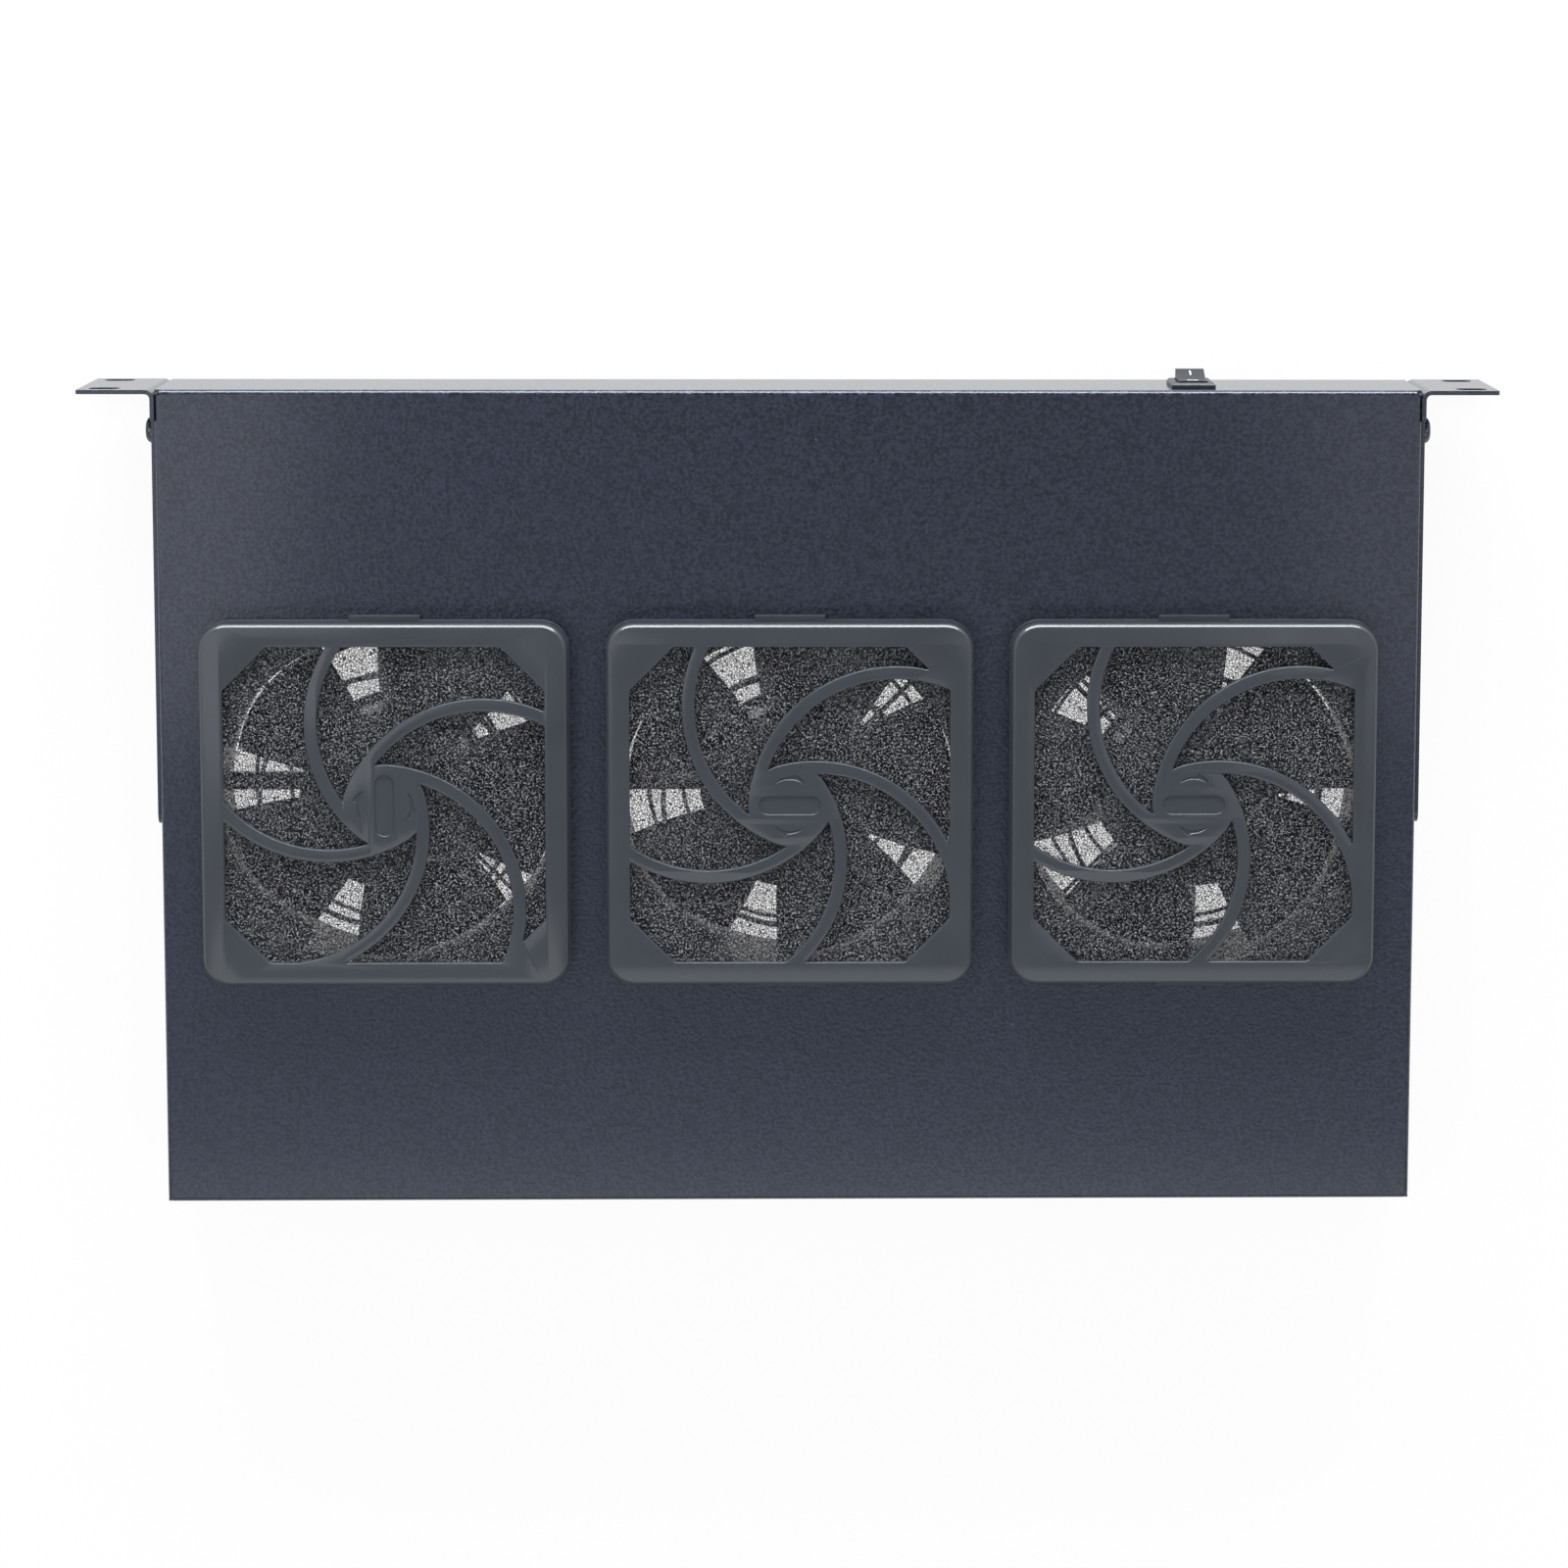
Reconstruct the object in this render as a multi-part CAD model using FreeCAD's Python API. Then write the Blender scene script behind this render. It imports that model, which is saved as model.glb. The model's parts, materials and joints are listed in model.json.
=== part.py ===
import FreeCAD, Part
import math
import os

# Rack fan tray, one rack unit high: a folded steel tray with three axial fans, clip-on filter
# covers, a rocker switch on the front and a power inlet on the rear wall. Millimetres.
# Origin: centre of the rack-slot pattern, on the front faces of the ears.
# +X to the right of the front panel, +Y into the rack, +Z out of the filter side.

Vec = FreeCAD.Vector
UP = Vec(0, 0, 1)
SIDES = {"left": -1, "right": 1}

# Rack interface
rack_width = 482.6
slot_spacing = 465.1
slot_rise = 31.75
slot_length = 10.6
slot_width = 6.8

# Tray sheet metal
tray_depth = 282.0
tray_height = 44.0
tray_margin = 14.5
sheet = 1.2
sheet_bend = 0.5
tray_lip = 12.0
corner_relief = 1.8
seam_gap = 0.3
hole_gap = 0.2

# Rack ears
ear_sheet = 1.5
ear_bend = 1.8
ear_length = 150.0
ear_tall_length = 10.7
ear_step = 2.7
ear_corner = 4.0
ear_screw_front = 14.5
ear_screw_drop = 10.0
ear_screw_rear = 130.0

# Fans
fan_depth = 38.0
fan_corner = 6.0
fan_flange = 4.0
fan_hole_inset = 7.25
fan_bore_margin = 1.95
fan_wall = 1.6
fan_bore_flare = 1.2
spider_thickness = 3.5
spider_hub = 64.0
strut_count = 4
strut_width = 6.0

# Rotor
blade_count = 5
blade_thickness = 1.8
blade_edge = 0.8
blade_camber = 3.2
blade_root_half_angle = 33.0
blade_tip_half_angle = 25.5
blade_rise = 25.0
tip_clearance = 1.2
rotor_setback = 4.2
blade_setback = 1.0
blade_root_depth = 12.0
rotor_hub = 60.0
rotor_length = 26.0
rotor_wall = 2.0
rotor_crown = 2.5
rotor_rest = {"left": 67.6, "middle": 41.0, "right": 33.0}

# Motor
shaft_diameter = 4.0
shaft_boss = 10.0
shaft_boss_length = 5.0
bearing_outer = 11.0
bearing_width = 4.0
bearing_tube_wall = 1.8
stator_core_height = 10.0
stator_coil_height = 3.0
stator_gap = 1.0
running_gap = 0.04
press_gap = 0.02

# Fasteners
fan_screw = 4.0
fan_screw_head = 8.0
fan_screw_head_height = 2.9
fan_nut_flats = 7.0
fan_nut_height = 2.2
ear_screw = 4.0
ear_screw_head = 9.0
ear_screw_head_height = 2.7
ear_screw_length = 8.0
ear_nut_height = 3.2
screw_clearance = 0.25
screw_tip = 0.5
thread_gap = 0.05

# Wire finger guards
guard_wire = 1.6
guard_weld = 0.2
guard_ring_count = 4
guard_ring_start = 14.0
guard_ring_pitch = 12.0
wire_facets = 6

# Filter holders
base_size = 125.4
base_spacing = 12.4
base_overhang = 2.95
base_corner = 9.8
base_floor = 2.5
base_rim = 1.0
base_rim_width = 2.4
grille_lift = 0.9
grille_ring_width = 1.6
grille_ring_count = 3
grille_rib_count = 4
base_tab_width = 24.0
base_tab_reach = 1.6
cover_inset = 0.5
cover_corner = 9.3
cover_height = 10.0
cover_border = 7.7
cover_chamfer = 15.0
cover_plate = 2.0
cover_wall = 1.8
cover_bevel = 0.7
cover_seat_gap = 0.2
clip_width = 14.0
clip_thickness = 1.2
clip_clearance = 0.35
foam_lap = 1.5
foam_gap = 0.2
arm_count = 5
arm_width = 4.4
arm_inset = 13.8
arm_start_angle = 31.7
arm_sweep = 116.0
cover_hub_radius = 14.2
grip_length = 21.0
grip_width = 6.3
grip_depth = 0.4

# Rocker switch
switch_drop = 17.5
bezel_width = 15.0
bezel_height = 21.0
bezel_proud = 2.0
bezel_bevel = 0.8
switch_body_depth = 14.0
switch_wall = 1.0
rocker_width = 9.8
rocker_height = 15.4
rocker_gap = 0.3
rocker_pivot_depth = 1.0
rocker_pin = 2.0
rocker_pin_reach = 1.0
rocker_tilt = 11.0
rocker_crown = 2.4
rocker_depth = 5.0
rocker_shoulder = 0.5
rocker_keel_width = 4.6
blade_terminal_width = 4.8
blade_terminal_thickness = 0.8
blade_terminal_reach = 8.0
switch_terminal_pitch = 7.0

# Power inlet
inlet_flange_length = 50.0
inlet_flange_height = 24.0
inlet_flange_thickness = 2.5
inlet_flange_corner = 5.0
inlet_screw_pitch = 40.0
inlet_screw = 3.0
inlet_screw_head = 5.6
inlet_screw_head_height = 1.7
inlet_nut_flats = 5.5
inlet_nut_height = 2.4
inlet_body_width = 27.0
inlet_body_height = 19.8
inlet_body_depth = 19.0
inlet_socket_width = 24.6
inlet_socket_height = 16.4
inlet_socket_depth = 15.0
inlet_socket_bevel = 4.5
inlet_pin_pitch = 14.0
inlet_pin_drop = 3.0
inlet_earth_rise = 3.6
inlet_pin_height = 4.0
inlet_pin_thickness = 2.0
inlet_pin_reach = 12.0
inlet_tail_reach = 8.0

# Wiring
block_length = 30.0
block_depth = 16.0
block_height = 12.0
block_front = 38.0
block_ways = 3
block_well = 3.0
pad_thickness = 0.6
mains_lead = 5.0
fan_lead = 2.8
core = 2.2
bend_share = 0.45
lead_grip = 8.0
grip_wall = 1.6
inlet_boot_reach = 14.0
receptacle_width = 6.6
receptacle_thickness = 2.8
receptacle_reach = 10.0
earth_offset = 52.0
earth_stud_diameter = 4.0
earth_stud_length = 9.0
earth_nut_flats = 7.0
earth_nut_height = 3.2
lug_thickness = 0.8
lug_width = 8.0
lug_barrel = 3.4
lug_barrel_length = 6.0
lug_neck = 2.0
fan_lead_inset = 7.75

# Sizes that follow from the filter holders
fan_size = base_size - 2 * base_overhang
fan_bore = fan_size - 2 * fan_bore_margin
fan_hole_pitch = fan_size - 2 * fan_hole_inset
fan_pitch = base_size + base_spacing
tray_width = 2 * fan_pitch + base_size + 2 * tray_margin
inlet_x = -fan_pitch / 2
cover_size = base_size - 2 * cover_inset
cover_window = cover_size - 2 * cover_border
foam_size = cover_window + 2 * foam_lap
arm_radius = cover_size / 2 - arm_inset

# Shared positions
plate_top = tray_height / 2
plate_under = plate_top - sheet
fan_row = tray_depth / 2
fan_places = {"left": -fan_pitch, "middle": 0.0, "right": fan_pitch}
switch_x = fan_places["left"]
switch_z = plate_top - switch_drop
switch_hole_width = bezel_width - 2 * switch_wall
switch_hole_height = bezel_height - 2 * switch_wall
guard_plane = -fan_depth - guard_wire / 2
fan_nut_seat = -fan_depth - guard_wire
fan_lead_level = plate_under - fan_flange / 2
fan_front = fan_row - fan_size / 2
block_top = plate_under - pad_thickness
block_middle = block_top - block_height / 2
block_centre = block_front + block_depth / 2
block_rear = block_front + block_depth
block_left = inlet_x - block_length / 2
inlet_boot_front = tray_depth - inlet_body_depth - inlet_boot_reach
earth_x = inlet_x + earth_offset
earth_y = inlet_boot_front + inlet_boot_reach / 2
lug_level = plate_under - lug_barrel / 2
lug_neck_end = earth_x - lug_width / 2 - lug_neck


def box(x0, x1, y0, y1, z0, z1):
    return Part.makeBox(x1 - x0, y1 - y0, z1 - z0, Vec(x0, y0, z0))


def cylinder(radius, length, base=None, direction=UP):
    return Part.makeCylinder(radius, length, base or Vec(0, 0, 0), direction)


def ring(outer, inner, z0, height):
    return cylinder(outer, height, Vec(0, 0, z0)).cut(cylinder(inner, height, Vec(0, 0, z0)))


def fuse(pieces):
    return pieces[0].multiFuse(pieces[1:]).removeSplitter() if len(pieces) > 1 else pieces[0]


def group(solids):
    return Part.makeCompound(solids)


def moved(shape, x, y, z):
    copy = shape.copy()
    copy.translate(Vec(x, y, z))
    return copy


def turned(shape, degrees, axis=UP, centre=None):
    copy = shape.copy()
    copy.rotate(centre or Vec(0, 0, 0), axis, degrees)
    return copy


def around(shape, count, start=0.0):
    return [turned(shape, start + k * 360.0 / count) for k in range(count)]


def corners(pitch):
    half = pitch / 2
    return [(sx * half, sy * half) for sx in (-1, 1) for sy in (-1, 1)]


def rounded_plate(size_x, size_y, radius, z0, height):
    plate = box(-size_x / 2, size_x / 2, -size_y / 2, size_y / 2, z0, z0 + height)
    upright = [e for e in plate.Edges if abs(e.tangentAt(e.FirstParameter).z) > 0.99]
    return plate.makeFillet(radius, upright)


def prism(points, direction):
    outline = Part.makePolygon(points + [points[0]])
    return Part.Face(outline).extrude(direction)


def chamfered_square(size, leg, z0, height):
    half = size / 2
    inner = half - leg
    points = [(half, inner), (inner, half), (-inner, half), (-half, inner)]
    points += [(-x, -y) for x, y in points]
    return prism([Vec(x, y, z0) for x, y in points], Vec(0, 0, height))


def bent_side(path, radius, offset):
    """Points of one face of a folded strip: straight runs joined by tangent arcs."""
    runs = []
    start = path[0]
    for k in range(1, len(path) - 1):
        before = (path[k] - path[k - 1]).normalize()
        after = (path[k + 1] - path[k]).normalize()
        turn = before.cross(after).z
        setback = radius * math.tan(before.getAngle(after) / 2)
        first = path[k] - before * setback
        last = path[k] + after * setback
        inward = Vec(-before.y, before.x, 0) * math.copysign(1, turn)
        centre = first + inward * radius
        middle = centre + (path[k] - centre).normalize() * radius
        runs.append(("line", start, first, before))
        runs.append(("arc", first, last, centre, middle))
        start = last
    runs.append(("line", start, path[-1], (path[-1] - start).normalize()))
    edges = []
    for run in runs:
        if run[0] == "line":
            shift = Vec(-run[3].y, run[3].x, 0) * offset
            edges.append([run[1] + shift, run[2] + shift])
            normal = shift
        else:
            centre = run[3]
            side = math.copysign(1, (run[1] - centre).dot(normal)) if offset else 1
            reach = (radius + side * abs(offset)) / radius
            edges.append([centre + (run[k] - centre) * reach for k in (1, 4, 2)])
    return edges


def folded_face(points, thickness, bend, plane):
    """Section of a sheet folded along the mid-line points, as a face in the given plane."""
    path = [Vec(u, v, 0) for u, v in points]
    radius = bend + thickness / 2
    left = bent_side(path, radius, thickness / 2)
    right = bent_side(path, radius, -thickness / 2)
    outline = left + [[left[-1][-1], right[-1][-1]]]
    outline += [edge[::-1] for edge in reversed(right)] + [[right[0][0], left[0][0]]]
    edges = []
    for edge in outline:
        edge = [plane(p.x, p.y) for p in edge]
        curve = Part.LineSegment(*edge) if len(edge) == 2 else Part.Arc(*edge)
        edges.append(curve.toShape())
    return Part.Face(Part.Wire(Part.__sortEdges__(edges)))


def slotted_cutter(centre_x, centre_z):
    half = (slot_length - slot_width) / 2
    reach = 4 * ear_sheet
    start_y = -reach / 2
    ends = [
        cylinder(slot_width / 2, reach, Vec(centre_x + s * half, start_y, centre_z), Vec(0, 1, 0))
        for s in (-1, 1)
    ]
    middle = box(
        centre_x - half,
        centre_x + half,
        start_y,
        start_y + reach,
        centre_z - slot_width / 2,
        centre_z + slot_width / 2,
    )
    return fuse(ends + [middle])


def ear_screw_points():
    level = plate_top - ear_screw_drop
    return [(ear_screw_front, level), (ear_screw_front, -level), (ear_screw_rear, 0.0)]


def switch_cutter():
    half_w = switch_hole_width / 2 + hole_gap
    half_h = switch_hole_height / 2 + hole_gap
    return box(
        switch_x - half_w,
        switch_x + half_w,
        -sheet,
        2 * sheet,
        switch_z - half_h,
        switch_z + half_h,
    )


def tray_pan():
    """Folded tray: plate, front and rear walls with return lips, and two side walls."""
    half = sheet / 2
    top = plate_top - half
    low = -tray_height / 2 + half
    lip_end = half + tray_lip
    front_to_rear = [
        (lip_end, low),
        (half, low),
        (half, top),
        (tray_depth - half, top),
        (tray_depth - half, low),
        (tray_depth - lip_end, low),
    ]
    section = folded_face(front_to_rear, sheet, sheet_bend, lambda u, v: Vec(-tray_width / 2, u, v))
    pan = section.extrude(Vec(tray_width, 0, 0))
    wall_start = sheet + seam_gap
    for side in SIDES.values():
        edge = side * tray_width / 2
        relief_x = sorted((edge, edge - side * corner_relief))
        for y0, y1 in ((0, corner_relief), (tray_depth - corner_relief, tray_depth)):
            pan = pan.cut(box(*relief_x, y0, y1, plate_top - corner_relief, plate_top))
        fold_zone = sorted((edge, edge - side * (sheet + sheet_bend)))
        pan = pan.cut(box(*fold_zone, wall_start, tray_depth - wall_start, -top, plate_top))
        inset = side * (tray_width / 2 - half)
        wall_path = [
            (inset - side * corner_relief, top),
            (inset, top),
            (inset, -tray_height / 2),
        ]
        wall = folded_face(wall_path, sheet, sheet_bend, lambda u, v: Vec(u, wall_start, v))
        wall = wall.extrude(Vec(0, tray_depth - 2 * wall_start, 0))
        for y0, y1 in ((0, corner_relief), (tray_depth - corner_relief, tray_depth)):
            wall = wall.cut(box(*relief_x, y0, y1, plate_top - corner_relief, plate_top))
        lip_zone = box(*fold_zone, wall_start, tray_depth - wall_start, -plate_top, plate_top)
        pan = pan.cut(lip_zone).fuse(wall)
        for y, z in ear_screw_points():
            start = Vec(edge - side * 2 * sheet, y, z)
            radius = ear_screw / 2 + screw_clearance
            pan = pan.cut(cylinder(radius, 4 * sheet, start, Vec(side, 0, 0)))
    for x in fan_places.values():
        cutters = [cylinder(fan_bore / 2, 4 * sheet, Vec(x, fan_row, plate_top - 2 * sheet))]
        for dx, dy in corners(fan_hole_pitch):
            start = Vec(x + dx, fan_row + dy, plate_top - 2 * sheet)
            cutters.append(cylinder(fan_screw / 2 + screw_clearance, 4 * sheet, start))
        pan = pan.cut(cutters)
    pan = pan.cut(switch_cutter()).cut(inlet_cutter())
    return pan.removeSplitter()


def inlet_cutter():
    """Cut-out and screw holes for the inlet in the rear wall."""
    half_w = inlet_body_width / 2 + hole_gap
    half_h = inlet_body_height / 2 + hole_gap
    y0 = tray_depth - 2 * sheet
    cutter = box(inlet_x - half_w, inlet_x + half_w, y0, tray_depth + sheet, -half_h, half_h)
    for side in SIDES.values():
        start = Vec(inlet_x + side * inlet_screw_pitch / 2, y0, 0)
        hole = cylinder(inlet_screw / 2 + screw_clearance, 4 * sheet, start, Vec(0, 1, 0))
        cutter = cutter.fuse(hole)
    return cutter


def rack_ear(side):
    """Folded bracket: slotted ear flush with the front wall and a stepped side plate."""
    half = ear_sheet / 2
    inset = tray_width / 2 + half
    path = [(side * rack_width / 2, half), (side * inset, half), (side * inset, ear_length)]
    low = -tray_height / 2
    section = folded_face(path, ear_sheet, ear_bend, lambda u, v: Vec(u, v, low))
    ear = section.extrude(Vec(0, 0, tray_height))
    plate_x = sorted((side * (tray_width / 2 - 1), side * (tray_width / 2 + 2 * ear_sheet)))
    for z0, z1 in ((low, low + ear_step), (-low - ear_step, -low)):
        ear = ear.cut(box(*plate_x, ear_tall_length, ear_length, z0, z1))
    rear = [
        e
        for e in ear.Edges
        if abs(e.CenterOfMass.y - ear_length) < 0.01 and abs(e.CenterOfMass.z) > 1
    ]
    rear = [e for e in rear if e.Length < 2 * ear_sheet]
    ear = ear.makeFillet(ear_corner, rear)
    for sz in (-1, 1):
        ear = ear.cut(slotted_cutter(side * slot_spacing / 2, sz * slot_rise / 2))
    for y, z in ear_screw_points():
        start = Vec(side * (tray_width / 2 - ear_sheet), y, z)
        radius = ear_screw / 2 + screw_clearance
        ear = ear.cut(cylinder(radius, 4 * ear_sheet, start, Vec(side, 0, 0)))
    return ear


def pan_screw(shank, head, head_height, length):
    """Pan-head screw along +Z: head seated at z = 0, shank below."""
    crown = Part.makeCone(head / 2, head / 2 - head_height / 3, head_height)
    return crown.fuse(cylinder(shank / 2, length, Vec(0, 0, -length))).removeSplitter()


def hex_nut(flats, height, shank):
    """Hexagon nut with its seat on z = 0 and its body below."""
    radius = flats / math.sqrt(3)
    points = [
        Vec(radius * math.cos(math.radians(60 * k)), radius * math.sin(math.radians(60 * k)), 0)
        for k in range(6)
    ]
    body = prism(points, Vec(0, 0, -height))
    return body.cut(cylinder(shank / 2 + thread_gap, height, Vec(0, 0, -height)))


def ear_screws():
    screws = []
    screw = pan_screw(ear_screw, ear_screw_head, ear_screw_head_height, ear_screw_length)
    for side in SIDES.values():
        for y, z in ear_screw_points():
            aimed = turned(screw, side * 90, Vec(0, 1, 0))
            screws.append(moved(aimed, side * (tray_width / 2 + ear_sheet), y, z))
    return group(screws)


def ear_nuts():
    nuts = []
    nut = hex_nut(fan_nut_flats, ear_nut_height, ear_screw)
    for side in SIDES.values():
        for y, z in ear_screw_points():
            aimed = turned(nut, side * 90, Vec(0, 1, 0))
            nuts.append(moved(aimed, side * (tray_width / 2 - sheet), y, z))
    return group(nuts)


def fan_frame():
    """Cast fan housing: two square flanges, a round duct, and a spider with a bearing tube."""
    duct = cylinder(fan_bore / 2 + fan_wall, fan_depth, Vec(0, 0, -fan_depth))
    block = rounded_plate(fan_size, fan_size, fan_corner, -fan_depth, fan_depth)
    frame = duct.common(block)
    for z0 in (-fan_flange, -fan_depth):
        frame = frame.fuse(rounded_plate(fan_size, fan_size, fan_corner, z0, fan_flange))
    frame = frame.cut(cylinder(fan_bore / 2, fan_depth, Vec(0, 0, -fan_depth)))
    flare = Part.makeCone(fan_bore / 2, fan_bore / 2 + fan_bore_flare, fan_bore_flare)
    frame = frame.cut(moved(flare, 0, 0, -fan_bore_flare))
    strut = box(
        spider_hub / 2 - 1,
        fan_bore / 2 + fan_wall / 2,
        -strut_width / 2,
        strut_width / 2,
        -fan_depth,
        -fan_depth + spider_thickness,
    )
    plate = cylinder(spider_hub / 2, spider_thickness, Vec(0, 0, -fan_depth))
    tube_outer = bearing_outer / 2 + press_gap + bearing_tube_wall
    tube = cylinder(tube_outer, bearing_tube_top() + fan_depth, Vec(0, 0, -fan_depth))
    frame = frame.multiFuse([plate, tube] + around(strut, strut_count))
    bore_floor = -fan_depth + spider_thickness / 2
    bore_height = bearing_tube_top() - bore_floor
    bore = cylinder(bearing_outer / 2 + press_gap, bore_height, Vec(0, 0, bore_floor))
    holes = [
        cylinder(fan_screw / 2 + screw_clearance, fan_depth, Vec(x, y, -fan_depth))
        for x, y in corners(fan_hole_pitch)
    ]
    return frame.cut([bore] + holes).removeSplitter()


def rotor_face():
    return -rotor_setback


def bearing_tube_top():
    return rotor_face() - rotor_crown - shaft_boss_length - 2 * stator_gap


def bearing_levels():
    lower = -fan_depth + spider_thickness + bearing_width
    return [bearing_tube_top() - bearing_width, lower - bearing_width]


def fan_bearings():
    return group(
        [
            ring(bearing_outer / 2, shaft_diameter / 2 + running_gap, z, bearing_width)
            for z in bearing_levels()
        ]
    )


def fan_shaft():
    top = rotor_face() - rotor_crown
    bottom = bearing_levels()[1] - stator_gap
    return cylinder(shaft_diameter / 2, top - bottom, Vec(0, 0, bottom))


def fan_stator():
    """Motor core between two coil rings, on the bearing tube inside the rotor cup."""
    inner = bearing_outer / 2 + press_gap + bearing_tube_wall + press_gap
    outer = rotor_hub / 2 - rotor_wall - stator_gap
    coil = (inner + outer) / 2
    seat = -fan_depth + spider_thickness
    profile = [
        (inner, seat),
        (coil, seat),
        (coil, seat + stator_coil_height),
        (outer, seat + stator_coil_height),
        (outer, seat + stator_coil_height + stator_core_height),
        (coil, seat + stator_coil_height + stator_core_height),
        (coil, seat + 2 * stator_coil_height + stator_core_height),
        (inner, seat + 2 * stator_coil_height + stator_core_height),
    ]
    outline = Part.makePolygon([Vec(r, 0, z) for r, z in profile + [profile[0]]])
    return Part.Face(outline).revolve(Vec(0, 0, 0), UP, 360)


def blade_section(distance, half_angle):
    """Cambered section of a blade in the plane square to +X at this distance."""
    half = distance * math.tan(math.radians(half_angle))
    rise = blade_rise / 2
    length = math.hypot(half, rise)
    normal = Vec(0, rise / length, half / length)
    lead = Vec(distance, -half, rise)
    trail = Vec(distance, half, -rise)
    middle = Vec(distance, 0, 0)
    edge = normal * (blade_edge / 2)
    upper = normal * (blade_camber + blade_thickness / 2)
    lower = normal * (blade_camber - blade_thickness / 2)
    sides = [
        Part.Arc(lead + edge, middle + upper, trail + edge),
        Part.LineSegment(trail + edge, trail - edge),
        Part.Arc(trail - edge, middle + lower, lead - edge),
        Part.LineSegment(lead - edge, lead + edge),
    ]
    return Part.Wire([side.toShape() for side in sides])


def impeller():
    """Rotor cup with a shaft boss and twisted blades trimmed to the duct."""
    top = rotor_face()
    outer = rotor_hub / 2
    cup = cylinder(outer, rotor_length, Vec(0, 0, top - rotor_length))
    rim = [e for e in cup.Edges if abs(e.CenterOfMass.z - top) < 0.01 and e.Length > outer]
    cup = cup.makeChamfer(rotor_crown / 2, rim)
    hollow_height = rotor_length - rotor_crown
    hollow = cylinder(outer - rotor_wall, hollow_height, Vec(0, 0, top - rotor_length))
    boss_top = top - rotor_crown
    boss = cylinder(shaft_boss / 2, shaft_boss_length, Vec(0, 0, boss_top - shaft_boss_length))
    near = outer - blade_root_depth
    tip = fan_bore / 2 - tip_clearance
    sections = [
        blade_section(near, blade_root_half_angle),
        blade_section((near + tip) / 2, (blade_root_half_angle + blade_tip_half_angle) / 2),
        blade_section(tip + 1, blade_tip_half_angle),
    ]
    blade = Part.makeLoft(sections, True, False)
    blade = moved(blade, 0, 0, top - blade_setback - blade_rise / 2 - blade_camber)
    tall = 3 * fan_depth
    sleeve = ring(tip, outer - rotor_wall / 2, -tall / 2, tall)
    blades = around(blade.common(sleeve), blade_count)
    rotor = cup.cut(hollow).multiFuse([boss] + blades)
    shaft_hole = cylinder(shaft_diameter / 2 + press_gap, shaft_boss_length, boss_base(boss_top))
    return rotor.cut(shaft_hole).removeSplitter()


def boss_base(boss_top):
    return Vec(0, 0, boss_top - shaft_boss_length)


def wire_section(centre, across):
    """Six-sided section of guard wire, square to the direction Y, with its width along across."""
    points = []
    for k in range(wire_facets):
        angle = math.radians(k * 360 / wire_facets)
        offset = across * math.cos(angle) + UP * math.sin(angle)
        points.append(centre + offset * (guard_wire / 2))
    return Part.Face(Part.makePolygon(points + [points[0]]))


def wire_ring(radius, level):
    section = wire_section(Vec(radius, 0, level), Vec(1, 0, 0))
    return section.revolve(Vec(0, 0, 0), UP, 360)


def finger_guard():
    """Welded wire guard: rings on two crossing wires that end in screw eyes."""
    eye = fan_screw / 2 + screw_clearance + guard_wire / 2
    flats = guard_wire * math.cos(math.pi / wire_facets)
    ring_level = guard_plane - flats + guard_weld
    radii = [guard_ring_start + k * guard_ring_pitch for k in range(guard_ring_count)]
    pieces = [wire_ring(radius, ring_level) for radius in radii]
    reach = fan_hole_pitch / math.sqrt(2) - eye
    cross_wire = wire_section(Vec(0, -reach, guard_plane), Vec(1, 0, 0))
    cross_wire = cross_wire.extrude(Vec(0, 2 * reach, 0))
    pieces += [turned(cross_wire, angle) for angle in (45, -45)]
    pieces += [moved(wire_ring(eye, guard_plane), x, y, 0) for x, y in corners(fan_hole_pitch)]
    return pieces[0].multiFuse(pieces[1:])


def fan_screw_length():
    return base_floor + sheet + fan_depth + guard_wire + fan_nut_height + screw_tip


def fan_screws():
    length = fan_screw_length()
    screw = pan_screw(fan_screw, fan_screw_head, fan_screw_head_height, length)
    return group(
        [
            moved(screw, x + dx, fan_row + dy, plate_top + base_floor)
            for x in fan_places.values()
            for dx, dy in corners(fan_hole_pitch)
        ]
    )


def fan_nuts():
    nut = hex_nut(fan_nut_flats, fan_nut_height, fan_screw)
    return group(
        [
            moved(nut, x + dx, fan_row + dy, plate_under + fan_nut_seat)
            for x in fan_places.values()
            for dx, dy in corners(fan_hole_pitch)
        ]
    )


def clip_seat():
    """Distance from the holder's centre to the outer face of a clip tongue."""
    return base_size / 2 - base_rim_width - clip_clearance


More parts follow.
